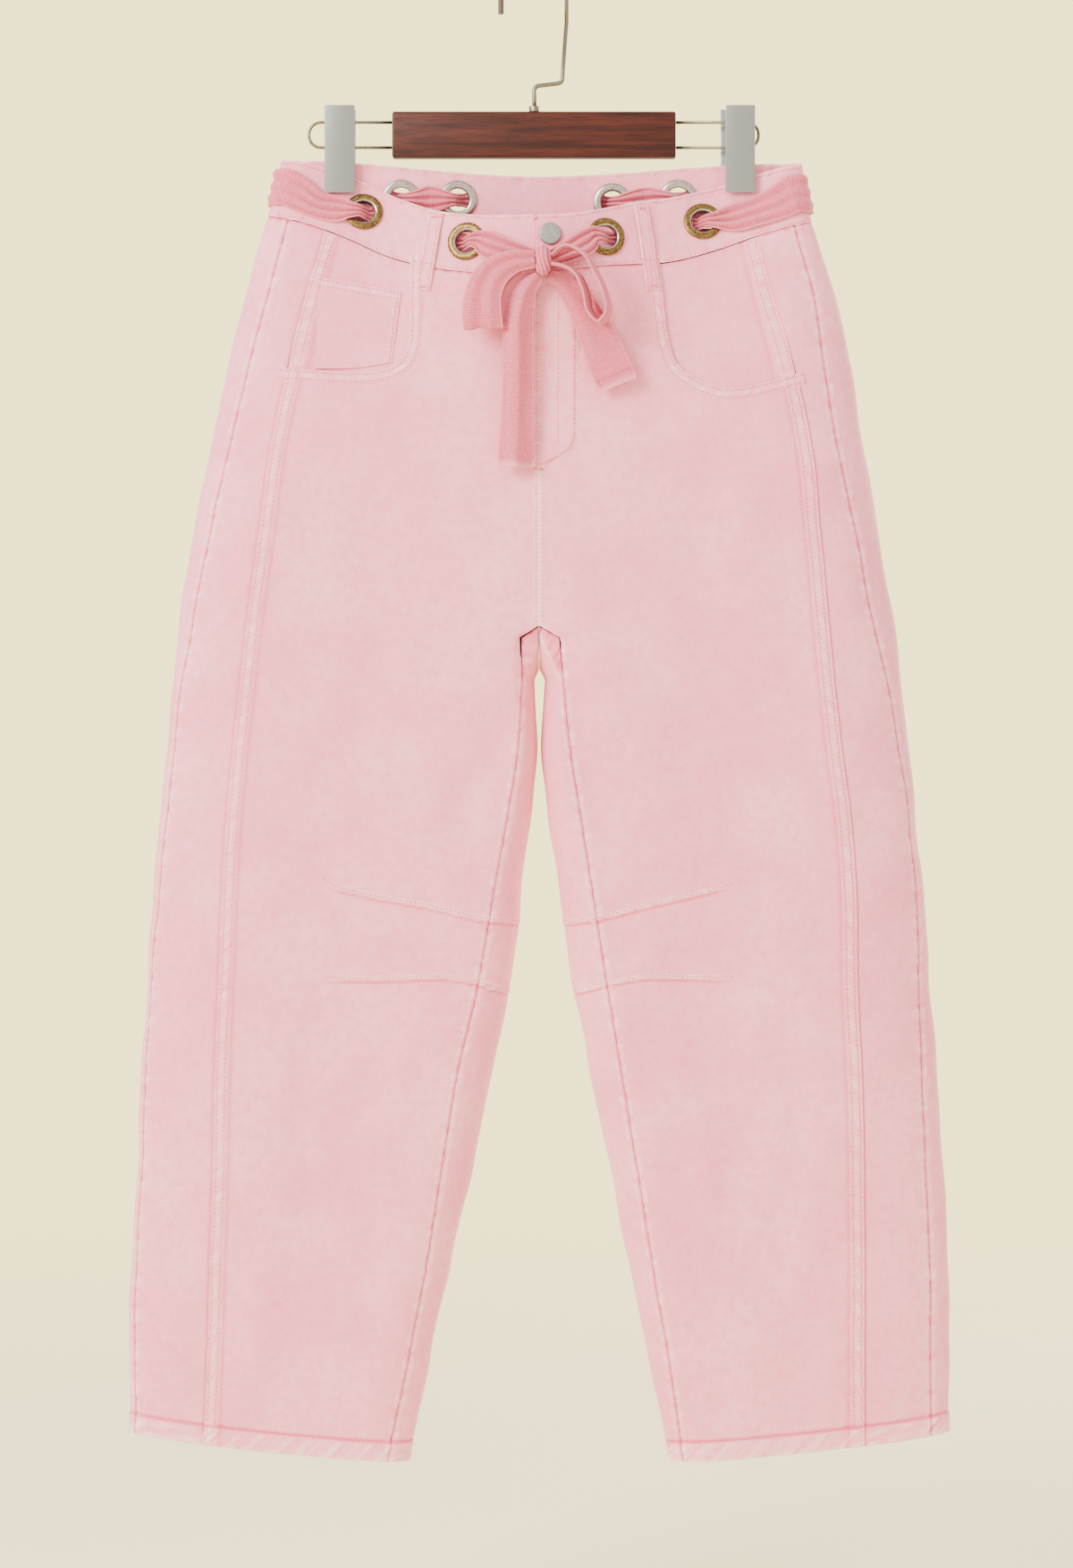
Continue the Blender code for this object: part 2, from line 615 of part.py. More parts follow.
def shell_mesh(name, outside, inside, used):
    """A closed wall between two grids of points, over the used cells."""
    mesh = bmesh.new()
    rows, columns = used.shape
    cells = [(i, j) for i in range(rows) for j in range(columns) if used[i, j]]
    places = sorted({(i + di, j + dj) for i, j in cells for di in (0, 1) for dj in (0, 1)})
    out = {place: mesh.verts.new(outside[place] * MM) for place in places}
    within = {place: mesh.verts.new(inside[place] * MM) for place in places}
    edges = {}
    for i, j in cells:
        ring = [(i, j), (i, j + 1), (i + 1, j + 1), (i + 1, j)]
        mesh.faces.new([out[place] for place in ring])
        mesh.faces.new([within[place] for place in reversed(ring)])
        for first, second in zip(ring, ring[1:] + ring[:1]):
            key = frozenset((first, second))
            edges[key] = None if key in edges else (first, second)
    for pair in filter(None, edges.values()):
        first, second = pair
        mesh.faces.new([out[second], out[first], within[first], within[second]])
    return finish_mesh(name, mesh)


def finish_mesh(name, mesh):
    bmesh.ops.recalc_face_normals(mesh, faces=mesh.faces)
    data = bpy.data.meshes.new(name)
    mesh.to_mesh(data)
    mesh.free()
    return data


def place(name, data, material, x=GARMENT_X):
    data.materials.append(material)
    data.shade_smooth()
    data.set_sharp_from_angle(angle=np.radians(40))
    thing = bpy.data.objects.new(name, data)
    thing.location.x = x * MM
    bpy.context.scene.collection.objects.link(thing)
    return thing


def mirrored(grid, side):
    return grid * np.array([-1.0, 1.0, 1.0]) if side == "right" else grid


def wall(name, grid, normals, used, levels, side, material):
    """A cloth panel whose outer face is the grid, with its hem rows thicker and proud."""
    in_hem = np.array([level > HEM_STITCH + 1 for level in levels])
    outside = grid + normals * (HEM_LIFT * in_hem)[:, None, None]
    inside = outside - normals * np.where(in_hem, HEM_CLOTH, CLOTH)[:, None, None]
    for points in (outside, inside):
        points[:, :, 0] = np.maximum(points[:, :, 0], HALF_GAP)
    data = shell_mesh(name, mirrored(outside, side), mirrored(inside, side), used)
    return place(name, data, material)


def back_grid(rows):
    """The back panel: behind the leg to the centre back, and below the crotch round to the inseam."""
    corner = len(TORSO_ROWS)
    grid = np.zeros((len(rows), BACK_SPANS + FORK_SPANS + 1, 3))
    for i, row in enumerate(rows):
        grid[i, : BACK_SPANS + 1] = row["back"]
        if i > corner:
            grid[i, BACK_SPANS:] = row["fork"]
    seam = rise_seam(rows[corner - 1]["back"][-1])
    grid[corner, BACK_SPANS + 1:] = (seam + 0.4 * (rows[corner + 1]["fork"] - seam))[1:]
    grid[corner, -1] = rows[corner]["fork"][-1]
    grid[corner - 1, BACK_SPANS:] = seam
    used = np.ones((len(rows) - 1, BACK_SPANS + FORK_SPANS), bool)
    used[: corner - 1, BACK_SPANS:] = False
    return grid, used


def share_normals(first, second):
    """Both sides of a seam take the mean of their normals, so that their inner edges stay apart."""
    mean = first + second
    mean /= np.linalg.norm(mean, axis=1, keepdims=True)
    first[:] = mean
    second[:] = mean


def body_panels(side, material):
    """The front, side and back panels of one half of the garment."""
    levels = TORSO_ROWS + LEG_ROWS
    rows = [leg_row(side, level) for level in levels]
    grids = {part: np.array([row[part] for row in rows]) for part in ("front", "side")}
    used = {part: np.ones((len(rows) - 1, grid.shape[1] - 1), bool) for part, grid in grids.items()}
    grids["back"], used["back"] = back_grid(rows)
    normals = {part: vertex_normals(grids[part], used[part]) for part in grids}
    share_normals(normals["front"][:, -1], normals["side"][:, 0])
    share_normals(normals["side"][:, -1], normals["back"][:, 0])
    legs = slice(len(TORSO_ROWS), None)
    share_normals(normals["front"][legs, 0], normals["back"][legs, -1])
    for part in grids:
        panel = wall(f"{part}_{side}", grids[part], normals[part], used[part], levels, side, material)
        if part == "front":
            cut_scoop(panel, side)


def cutter(name, data):
    tool = bpy.data.objects.new(name, data)
    tool.hide_render = True
    tool.display_type = "WIRE"
    bpy.context.scene.collection.objects.link(tool)
    return tool


def cut(target, tool):
    modifier = target.modifiers.new(tool.name, "BOOLEAN")
    modifier.operation = "DIFFERENCE"
    modifier.object = tool


def prism(name, outline, axis, start, end):
    """An outline of two coordinates, extruded along the third from start to end."""
    mesh = bmesh.new()
    others = [k for k in range(3) if k != axis]
    vertices = []
    for first, second in outline:
        place_at = [0.0, 0.0, 0.0]
        place_at[others[0]] = first * MM
        place_at[others[1]] = second * MM
        place_at[axis] = start * MM
        vertices.append(mesh.verts.new(place_at))
    face = mesh.faces.new(vertices)
    made = bmesh.ops.extrude_face_region(mesh, geom=[face])["geom"]
    move = [0.0, 0.0, 0.0]
    move[axis] = (end - start) * MM
    bmesh.ops.translate(mesh, vec=move, verts=[v for v in made if isinstance(v, bmesh.types.BMVert)])
    return finish_mesh(name, mesh)


def scoop_edge(side, spans=3):
    """The scoop's edge as a smooth line of signed x and height."""
    rows = SCOOPS[side]
    steps = np.linspace(0, len(rows) - 1, spans * (len(rows) - 1) + 1)
    knots = range(len(rows))
    x = curve_through(knots, [row[0] for row in rows], steps)
    drop = curve_through(knots, [row[1] for row in rows], steps)
    sign = -1 if side == "right" else 1
    return [(sign * a, -b) for a, b in zip(x, drop)]


def cut_scoop(panel, side):
    edge = scoop_edge(side)
    sign = -1 if side == "right" else 1
    outline = edge + [(sign * 230, edge[-1][1]), (sign * 230, -170), (edge[0][0], -170)]
    tool = cutter(f"scoop_cutter_{side}", prism(f"scoop_cutter_{side}", outline, 1, -60, 2))
    tool.location.x = GARMENT_X * MM
    cut(panel, tool)


def patch(name, grid, lift, thickness, material, face="front"):
    """A piece that lies on the cloth, from a grid of signed x and drop."""
    grid = np.array(grid, float)
    base = points_on(face, grid[..., 0], grid[..., 1])
    normals = normals_on(face, grid[..., 0], grid[..., 1])
    lift = np.broadcast_to(lift, base.shape[:2])[:, :, None]
    used = np.ones((len(grid) - 1, grid.shape[1] - 1), bool)
    return place(
        name, shell_mesh(name, base + normals * (lift + thickness), base + normals * lift, used),
        material,
    )


def seam_drop(x):
    side = "right" if x < 0 else "left"
    return float(waist_drops(side, "front", abs(x))[1])


def pocket_facing(side, material):
    """The cloth behind the scooped opening, sewn into the waist seam and the front seam."""
    under = 9.0  # how far it reaches under the front panel
    sign = -1 if side == "right" else 1
    bottom = max(drop for _, drop in SCOOPS[side]) + under
    inner_x = SCOOPS[side][0][0] - under
    rows = []
    for t in np.linspace(0, 1, 9):
        row = []
        for u in np.linspace(0, 1, 8):
            rough_x = inner_x + 80 * u
            rough_drop = seam_drop(sign * rough_x) * (1 - t) + bottom * t
            level = level_of(side, "front", rough_x, rough_drop)
            edge_x = float(section_value(side, "front_seam", level)) - HALF_GAP
            x = inner_x + (edge_x - inner_x) * u
            top = seam_drop(sign * x) + 0.5
            row.append((sign * x, top + (bottom - top) * t))
        rows.append(row)
    return patch(f"pocket_facing_{side}", rows, -CLOTH - LIFT - CLOTH, CLOTH, material)


def coin_pocket(material):
    """A small patch pocket on the right facing, that runs down under the scoop."""
    rows = []
    for t in np.linspace(0, 1, 6):
        inner_x = 104.5 + 6.5 * t
        outer_x = 166.5 + 2.5 * t
        row = []
        for u in np.linspace(0, 1, 6):
            x = outer_x + (inner_x - outer_x) * u
            top = 238.5 + 11.0 * u
            bottom = 309.0 - 5.5 * u**3
            row.append((-x, top + (bottom - top) * t))
        rows.append(row)
    return patch("coin_pocket", rows, -CLOTH - 0.35, 0.9, material)


def fly(material):
    """The fly's outer layer, which laps past the centre front and ends in a curve."""
    edge, width, straight, end = -4.0, 34.0, 357.0, 384.0
    rows = []
    for drop in (239.5, 262, 285, 308, 332, straight, 366, 373, 378.5, 382, end):
        bend = max(0.0, (drop - straight) / (end - straight))
        reach = width * (1 - 0.72 * bend**2.2)
        rows.append([(edge + reach * u, drop) for u in np.linspace(0, 1, 5)])
    return patch("fly", rows, LIFT, 1.2, material)


def belt_loop(name, face, top, bottom, stand_off, material):
    """A narrow strip sewn down at both ends, from the band's top edge to below its seam."""
    width = 11.0
    rows = []
    lifts = []
    for t in (0, 0.1, 0.25, 0.5, 0.72, 0.88, 1):
        x = top[0] + (bottom[0] - top[0]) * t
        drop = top[1] + (bottom[1] - top[1]) * t
        rows.append([(x - width / 2, drop), (x + width / 2, drop)])
        lifts.append([LIFT + stand_off * np.sin(np.pi * min(1.0, t / 0.88)) ** 0.6] * 2)
    return patch(name, rows, np.array(lifts), 1.3, material, face)


# The waistband

def band_across(side, face, level):
    """Distances from the centre line to the side fold, closer together at the fold."""
    outer = section_value(side, "outer", level)
    rounding = depth_value("outer_round", level)
    turn = np.sin(np.linspace(0, np.pi / 2, BAND_TURN_SPANS + 1))
    flat = np.linspace(0, outer - rounding, BAND_SPANS + 1)[:-1]
    return np.concatenate([flat, outer - rounding + rounding * turn])


def band_piece(name, parts, material):
    """A length of the band, from half rings of the waist: its sides with the first x of each."""
    rows = []
    for share in BAND_ROWS:
        level = BAND_TOP + (BAND_SEAM - BAND_TOP - SEAM_GAP) * share
        row = []
        for side, face, start, turned in parts:
            x = band_across(side, face, level)
            if start is None:
                x = x[1:]
            else:
                x[0] = start
            points = face_points(side, face, x, level)
            points[-1, 1] = -HALF_GAP if face == "front" else HALF_GAP
            if side == "right":
                points[:, 0] *= -1
            row.append(points[::-1] if turned else points)
        rows.append(np.concatenate(row))
    grid = np.array(rows)
    used = np.ones((len(grid) - 1, grid.shape[1] - 1), bool)
    normals = vertex_normals(grid, used)
    outward = 1.0 if parts[0][1] == "back" else -1.0
    normals *= np.sign(np.median(normals[..., 1])) * outward
    for column in [k for k in (0, -1) if abs(grid[0, k, 0]) > CLIP_OUT]:
        normals[:, column, 1] = 0
        normals[:, column] /= np.linalg.norm(normals[:, column], axis=1, keepdims=True)
    return place(name, shell_mesh(name, grid, grid - normals * BAND_CLOTH, used), material)


def eyelet_frame(face, x, drop):
    """A matrix whose Z axis is the way out of the band, at the middle of its wall."""
    normal = Vector(normals_on(face, x, drop))
    centre = Vector(points_on(face, x, drop)) - normal * BAND_CLOTH / 2
    turn = Vector((0, 0, 1)).rotation_difference(normal).to_matrix().to_4x4()
    return Matrix.Translation((centre + Vector((GARMENT_X, 0, 0))) * MM) @ turn


def turned_ring(name, profile, segments):
    """A closed profile of radius and height, turned about Z."""
    mesh = bmesh.new()
    rings = []
    for k in range(segments):
        angle = 2 * np.pi * k / segments
        rings.append([
            mesh.verts.new((r * np.cos(angle) * MM, r * np.sin(angle) * MM, h * MM)) for r, h in profile
        ])
    for k, ring in enumerate(rings):
        following = rings[(k + 1) % segments]
        for j in range(len(profile)):
            after = (j + 1) % len(profile)
            mesh.faces.new([ring[j], ring[after], following[after], following[j]])
    return finish_mesh(name, mesh)


def cylinder(name, radius, length, segments):
    mesh = bmesh.new()
    bmesh.ops.create_cone(
        mesh, cap_ends=True, segments=segments, radius1=radius * MM, radius2=radius * MM,
        depth=length * MM,
    )
    return finish_mesh(name, mesh)


def eyelets(bands, material):
    """Eight two-sided rings, each through a hole in the band."""
    top = EYELET_SEAT + EYELET_FLANGE
    crest = (EYELET_INNER + EYELET_RADIUS) / 2
    barrel = EYELET_HOLE - SEAM_GAP
    profile = (
        (EYELET_INNER, -top + 0.3), (EYELET_INNER, top - 0.3), (crest, top),
        (EYELET_RADIUS, EYELET_SEAT + 0.2), (barrel, EYELET_SEAT), (barrel, -EYELET_SEAT),
        (EYELET_RADIUS, -EYELET_SEAT - 0.2), (crest, -top),
    )
    for name, (face, x, drop) in EYELETS.items():
        frame = eyelet_frame(face, x, drop)
        ring = place(f"eyelet_{name}", turned_ring(name, profile, 12), material)
        ring.matrix_world = frame
        tool = cutter(f"hole_{name}", cylinder(f"hole_{name}", EYELET_HOLE, 9, 16))
        tool.matrix_world = frame
        band = "back" if face == "back" else "front_right" if x < 0 else "front_left"
        cut(bands[band], tool)


# The belt and its bow

def ribbon(name, rows, thickness, material, spans=3, creased=False):
    """A strip of tape through rows of place, width, direction across it and height of its crease."""
    rows = np.array(rows, float)
    knots = running_length(rows[:, :3])
    at = np.concatenate([
        np.linspace(a, b, spans + 1)[:-1] for a, b in zip(knots[:-1], knots[1:])
    ] + [knots[-1:]])
    line = np.stack([curve_through(knots, rows[:, k], at) for k in range(rows.shape[1])], axis=1)
    path = line[:, :3]
    tangents = np.gradient(path, axis=0)
    tangents /= np.linalg.norm(tangents, axis=1, keepdims=True)
    across = line[:, 4:7]
    across = across - tangents * np.sum(across * tangents, axis=1, keepdims=True)
    across /= np.linalg.norm(across, axis=1, keepdims=True)
    normals = np.cross(tangents, across)
    places = (-0.5, 0.0, 0.5) if creased else (-0.5, 0.5)
    centre = np.stack([path + across * line[:, 3:4] * share for share in places], axis=1)
    if creased:
        centre[:, 1] += normals * line[:, 7:8]
    used = np.ones((len(centre) - 1, len(places) - 1), bool)
    offset = normals[:, None, :] * thickness / 2
    return place(name, shell_mesh(name, centre + offset, centre - offset, used), material)


def on_band(face, x, drop, offset, width):
    """A row of the belt, at an offset from the band's outer face."""
    point = points_on(face, x, drop)
    down = points_on(face, x, drop + 4) - points_on(face, x, drop - 4)
    middle = point + normals_on(face, x, drop) * offset
    return (*middle, width, *down, 0)


def side_turn(side, drop, offset, width):
    """Rows of the belt round the side fold, from front to back."""
    sign = -1 if side == "right" else 1
    level = float(level_of(side, "front", 198.0, drop))
    reach = section_value(side, "outer", level)
    rounding = depth_value("outer_round", level)
    depth = depth_value("front_side", level)
    rows = []
    for angle in np.radians((-60, -35, 0, 35, 60)):
        away = np.array([np.cos(angle) * depth, np.sin(angle) * rounding])
        away /= np.linalg.norm(away)
        x = reach - rounding + rounding * np.cos(angle) + away[0] * offset
        y = depth * np.sin(angle) + away[1] * offset
        rows.append((sign * x, y, -drop, width, 0.22 * sign * away[0], 0.15 * away[1], -1.0, 0))
    return rows


def eyelet_crossing(name, toward, inward):
    """Rows of the belt through an eyelet, moving along X towards +1 or -1, inward or outward."""
    face, x, drop = EYELETS[name]
    rows = []
    for step, height, width in ((-9.0, 5.3, 13.0), (-3.4, 4.1, 9.0), (0.0, 0.0, 9.0), (3.4, -4.1, 9.0),
                                (9.0, -5.3, 12.0)):
        share = height if inward else -height
        rows.append(on_band(face, x + toward * step, drop, share - BAND_CLOTH / 2, width))
    return rows


def belt_rows(side):
    """Rows of the belt from the knot, in and out through four eyelets, to the centre back."""
    sign = -1 if side == "right" else 1
    rows = []
    for kind, *values in BELT_ROUTES[side]:
        if kind == "eyelet":
            name, inward = values
            toward = sign if name.startswith("front") else -sign
            rows += eyelet_crossing(name, toward, inward)
        elif kind == "turn":
            rows += side_turn(side, *values)
        else:
            x, drop, offset, width = values
            rows.append(on_band(kind, sign * x, drop, offset, width))
    return rows


def belt_and_bow(material):
    right = belt_rows("right")
    left = belt_rows("left")
    ribbon("belt", right + left[-2::-1], TAPE, material, spans=2)
    for name, rows in BOW.items():
        points = [(x, y, -drop, width, ax, ay, -az, crease)
                  for x, y, drop, width, ax, ay, az, crease in rows]
        ribbon(name, points, TAPE, material, creased="tail" in name)
    mesh = bmesh.new()
    bmesh.ops.create_uvsphere(mesh, u_segments=12, v_segments=8, radius=1.0)
    bmesh.ops.scale(mesh, vec=KNOT_RADII * MM, verts=mesh.verts)
    bmesh.ops.translate(mesh, vec=KNOT_CENTRE * MM, verts=mesh.verts)
    place("bow_knot", finish_mesh("bow_knot", mesh), material)


# The hanger

def bent_wire(name, corners, radius, material, sides=8):
    """A round wire through corners of x, z and bend radius, in the plane of the hanger."""
    line = [np.array(corners[0][:2])]
    for before, here, after in zip(corners, corners[1:], corners[2:]):
        point = np.array(here[:2])
        back = np.array(before[:2]) - point
        ahead = np.array(after[:2]) - point
        back /= np.linalg.norm(back)
        ahead /= np.linalg.norm(ahead)
        half = np.arccos(np.clip(back @ ahead, -1, 1)) / 2
        setback = here[2] / np.tan(half)
        centre = point + (back + ahead) / np.linalg.norm(back + ahead) * here[2] / np.sin(half)
        start = point + back * setback - centre
        end = point + ahead * setback - centre
        turn = np.arctan2(start[0] * end[1] - start[1] * end[0], start @ end)
        steps = max(2, int(np.ceil(abs(turn) / np.radians(22))))
        for k in range(steps + 1):
            angle = turn * k / steps
            spin = np.array([[np.cos(angle), -np.sin(angle)], [np.sin(angle), np.cos(angle)]])
            line.append(centre + spin @ start)
    line.append(np.array(corners[-1][:2]))
    curve = bpy.data.curves.new(name, "CURVE")
    curve.dimensions = "3D"
    curve.bevel_depth = radius * MM
    curve.bevel_resolution = sides // 2 - 2
    curve.use_fill_caps = True
    spline = curve.splines.new("POLY")
    spline.points.add(len(line) - 1)
    for point, (x, z) in zip(spline.points, line):
        point.co = (x * MM, 0, z * MM, 1)
    curve.materials.append(material)
    wire = bpy.data.objects.new(name, curve)
    bpy.context.scene.collection.objects.link(wire)
    return wire


def hook(wire, tip):
    """The hook and its dark sleeve. Its inside top is the origin."""
    arc = [(HOOK_BEND * np.cos(a), HOOK_BEND * np.sin(a)) for a in np.radians(np.arange(0, 181, 15))]
    top = HOOK_WIRE - HOOK_BEND
    corners = [
        (STEM_X, COLLAR_TOP + 0.3, 0), (STEM_X, -91.5, 4.0), (19.5, -89.0, 4.0),
        (HOOK_X + HOOK_BEND, -42.0, 0.5),
    ]
    corners += [(HOOK_X + x, top + z, 0.01) for x, z in arc]
    corners += [(HOOK_X - HOOK_BEND, top - 2.0, 0)]
    bent_wire("hook", corners, HOOK_WIRE, wire)
    end = cylinder("hook_tip", HOOK_WIRE + 0.5, 11.0, 12)
    sleeve = place("hook_tip", end, tip, x=HOOK_X - HOOK_BEND)
    sleeve.location.z = (top - 2.0 - SEAM_GAP - 5.5) * MM
    collar = cylinder("hook_collar", 4.0, COLLAR_TOP - BAR_TOP - SEAM_GAP, 12)
    collar = place("hook_collar", collar, wire, x=STEM_X)
    collar.location.z = (COLLAR_TOP + BAR_TOP + SEAM_GAP) / 2 * MM


def hanger_bar(material):
    mesh = bmesh.new()
    bmesh.ops.create_cube(mesh, size=1.0)
    size = Vector((BAR_END[1] - BAR_END[0], BAR_DEPTH, BAR_HEIGHT))
    bmesh.ops.scale(mesh, vec=size * MM, verts=mesh.verts)
    bar = place("hanger_bar", finish_mesh("hanger_bar", mesh), material, x=sum(BAR_END) / 2)
    bar.location.z = (BAR_TOP - BAR_HEIGHT / 2) * MM
    rounding = bar.modifiers.new("rounding", "BEVEL")
    rounding.width = 1.5 * MM
    rounding.segments = 2


def hanger_frame(side, wire):
    """The wire loop that stands out of one end of the bar."""
    sign = -1 if side == "right" else 1
    bar_end = BAR_END[0] if side == "right" else BAR_END[1]
    far = FRAME_REACH[side]
    start = bar_end + sign * SEAM_GAP
    bend = (FRAME_TOP - FRAME_LOW) / 2 - 0.6
    bent_wire(f"hanger_frame_{side}", [
        (start, FRAME_TOP, 0), (far, FRAME_TOP, bend), (far, FRAME_LOW, bend), (start, FRAME_LOW, 0),
    ], FRAME_WIRE, wire, sides=8)


def clip(side, plate, spring):
    """Two jaws of bent plate, and the sprung block between them that rides on the wires."""
    middle, width = CLIPS[side]
    outline = (
        (-11.0, CLIP_TOP), (-8.2, -128), (-8.2, CLIP_LOW), (-7.0, CLIP_LOW), (-7.0, -170.0),
        (-CLIP_GRIP, -169.2), (-CLIP_GRIP, -164.6), (-7.0, -164.0), (-7.0, -128.2), (-9.8, CLIP_TOP),
    )
    for jaw, sign, shift in (("front", 1, 0.0), ("back", -1, BACK_JAW_SHIFT[side])):
        points = [(sign * y, z) for y, z in outline]
        name = f"clip_{side}_{jaw}"
        jaw_mesh = prism(name, points, 0, -width / 2, width / 2)
        place(name, jaw_mesh, plate, x=middle + shift)
    low = FRAME_LOW + FRAME_WIRE + SEAM_GAP
    high = FRAME_TOP - FRAME_WIRE - SEAM_GAP
    outline = ((-6.6, low + 1.5), (-5.1, low), (5.1, low), (6.6, low + 1.5),
               (6.6, high - 1.5), (5.1, high), (-5.1, high), (-6.6, high - 1.5))
    name = f"clip_{side}_spring"
    place(name, prism(name, outline, 0, -5.5, 5.5), spring, x=middle)


def button(material):
    x, drop = BUTTON
    data = cylinder("button", BUTTON_RADIUS, BUTTON_THICKNESS, 20)
    disc = place("button", data, material)
    normal = Vector(normals_on("front", x, drop))
    centre = Vector(points_on("front", x, drop)) + normal * (LIFT + BUTTON_THICKNESS / 2)
    turn = Vector((0, 0, 1)).rotation_difference(normal).to_matrix().to_4x4()
    disc.matrix_world = Matrix.Translation((centre + Vector((GARMENT_X, 0, 0))) * MM) @ turn
    rounding = disc.modifiers.new("rounding", "BEVEL")
    rounding.width = 0.8 * MM
    rounding.segments = 1


def material(name, colour, roughness, metallic=0.0):
    """A Principled material from an sRGB colour."""
    made = bpy.data.materials.new(name)
    made.use_nodes = True
    shader = made.node_tree.nodes["Principled BSDF"]
    channels = [int(colour[k:k + 2], 16) / 255 for k in (1, 3, 5)]
    linear = [c / 12.92 if c <= 0.04045 else ((c + 0.055) / 1.055) ** 2.4 for c in channels]
    shader.inputs["Base Color"].default_value = (*linear, 1)
    shader.inputs["Roughness"].default_value = roughness
    shader.inputs["Metallic"].default_value = metallic
    return made


twill = material("cotton_twill", "#ebc4ca", 0.9)
tape = material("woven_tape", "#dc929f", 0.9)
brass = material("antique_brass", "#8a7046", 0.4, 1.0)
steel = material("brushed_steel", "#a9aba6", 0.35, 1.0)
bright_wire = material("steel_wire", "#8f8674", 0.3, 1.0)
varnish = material("varnished_wood", "#6b2d1b", 0.35)
dark_sleeve = material("dark_sleeve", "#4a3428", 0.5)
spring_steel = material("spring_steel", "#5d5f5e", 0.45, 1.0)
pewter = material("pewter", "#b7b8b6", 0.35, 1.0)

for half in ("right", "left"):
    body_panels(half, twill)
    pocket_facing(half, twill)
coin_pocket(twill)
fly(twill)
BAND_PARTS = {
    "front_right": (("right", "front", -OVERLAP_EDGE + HALF_GAP, False),),
    "front_left": (("left", "front", OVERLAP_EDGE + HALF_GAP, False),),
    "back": (("right", "back", 0.0, True), ("left", "back", None, False)),
}
band_nodes = {
    place_name: band_piece(f"waistband_{place_name}", parts, twill)
    for place_name, parts in BAND_PARTS.items()
}
for name, (face, top, bottom, stand_off) in BELT_LOOPS.items():
    belt_loop(f"belt_loop_{name}", face, top, bottom, stand_off, twill)
eyelets(band_nodes, brass)
button(pewter)
belt_and_bow(tape)
hook(bright_wire, dark_sleeve)
hanger_bar(varnish)
for half in ("right", "left"):
    hanger_frame(half, bright_wire)
    clip(half, steel, spring_steel)
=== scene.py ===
# %% [markdown]
# # Barrel leg trousers on a clip hanger
#
# The trousers hang flat from two clips. The cloth is a garment-dyed cotton twill: it is sewn first
# and dyed afterwards, so the raised seams stay pale. The hollows beside them are painted darker, as shade.
# Everything is in metres, with the origin at the inside top of the hook. The imported model is
# loaded first, as a fixed frame, and each piece here stands for one of its nodes.

# %% Load the frame
import functools
import math

import bpy
import numpy as np
from mathutils import Matrix, Vector
from mathutils.bvhtree import BVHTree


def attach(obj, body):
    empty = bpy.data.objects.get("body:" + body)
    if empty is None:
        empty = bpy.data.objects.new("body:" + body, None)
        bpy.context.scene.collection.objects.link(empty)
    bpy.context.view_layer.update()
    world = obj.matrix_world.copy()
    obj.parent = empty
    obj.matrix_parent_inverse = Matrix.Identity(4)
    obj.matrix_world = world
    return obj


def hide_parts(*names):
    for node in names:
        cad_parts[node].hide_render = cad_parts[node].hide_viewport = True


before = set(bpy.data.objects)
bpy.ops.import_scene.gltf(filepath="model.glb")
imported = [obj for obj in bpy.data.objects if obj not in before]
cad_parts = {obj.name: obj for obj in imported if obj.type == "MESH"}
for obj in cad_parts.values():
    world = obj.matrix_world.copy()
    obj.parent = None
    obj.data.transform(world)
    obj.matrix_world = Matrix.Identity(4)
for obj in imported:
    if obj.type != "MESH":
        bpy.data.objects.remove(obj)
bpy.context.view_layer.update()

MM = 0.001
print("nodes", len(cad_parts))

# %% [markdown]
# ## The camera, the floor and the light
#
# The photograph is taken straight on, from about three metres, with the garment filling the frame.
# A long lens keeps its edges straight. The light is one broad soft source on the left and a pale
# room all round. The floor fades out with distance, so that no horizon shows behind the garment.

# %% Camera
CAMERA_DISTANCE = 3.0
FRAME_HEIGHT = 1753 * 0.68 * MM  # what the picture takes in at the garment
SENSOR = 36.0
CAMERA_Z = -0.6219  # level with the middle of the picture
camera_data = bpy.data.cameras.new("camera")
camera_data.sensor_width = SENSOR
camera_data.lens = SENSOR * CAMERA_DISTANCE / FRAME_HEIGHT
camera = bpy.data.objects.new("camera", camera_data)
camera.location = (0, -CAMERA_DISTANCE, CAMERA_Z)
camera.rotation_euler = (math.radians(90), 0, 0)
bpy.context.scene.collection.objects.link(camera)
bpy.context.scene.camera = camera


# %% Selecting, as by hand
def deselect():
    for thing in bpy.context.selected_objects:
        thing.select_set(False)


def activate(piece):
    deselect()
    piece.select_set(True)
    bpy.context.view_layer.objects.active = piece


def apply_modifiers(piece):
    activate(piece)
    for modifier in list(piece.modifiers):
        bpy.ops.object.modifier_apply(modifier=modifier.name)


def apply_place(piece):
    """Puts the piece's place into its mesh, so that its object sits at the origin."""
    activate(piece)
    bpy.ops.object.transform_apply(location=True, rotation=True, scale=True)


def smooth(piece, angle=55):
    """Smooths the faces that meet at less than an angle in degrees."""
    activate(piece)
    bpy.ops.object.shade_smooth_by_angle(angle=math.radians(angle))


def cut_away(piece, tool):
    """Cuts a tool's shape out of a piece, then deletes the tool."""
    cut = piece.modifiers.new("cut", "BOOLEAN")
    cut.operation = "DIFFERENCE"
    cut.object = tool
    apply_modifiers(piece)
    bpy.data.objects.remove(tool, do_unlink=True)


def dress(piece, material):
    piece.data.materials.clear()
    piece.data.materials.append(material)


# %% Colours and nodes
def linear(colour):
    channels = [int(colour[k:k + 2], 16) / 255 for k in (1, 3, 5)]
    return tuple(c / 12.92 if c <= 0.04045 else ((c + 0.055) / 1.055) ** 2.4 for c in channels)


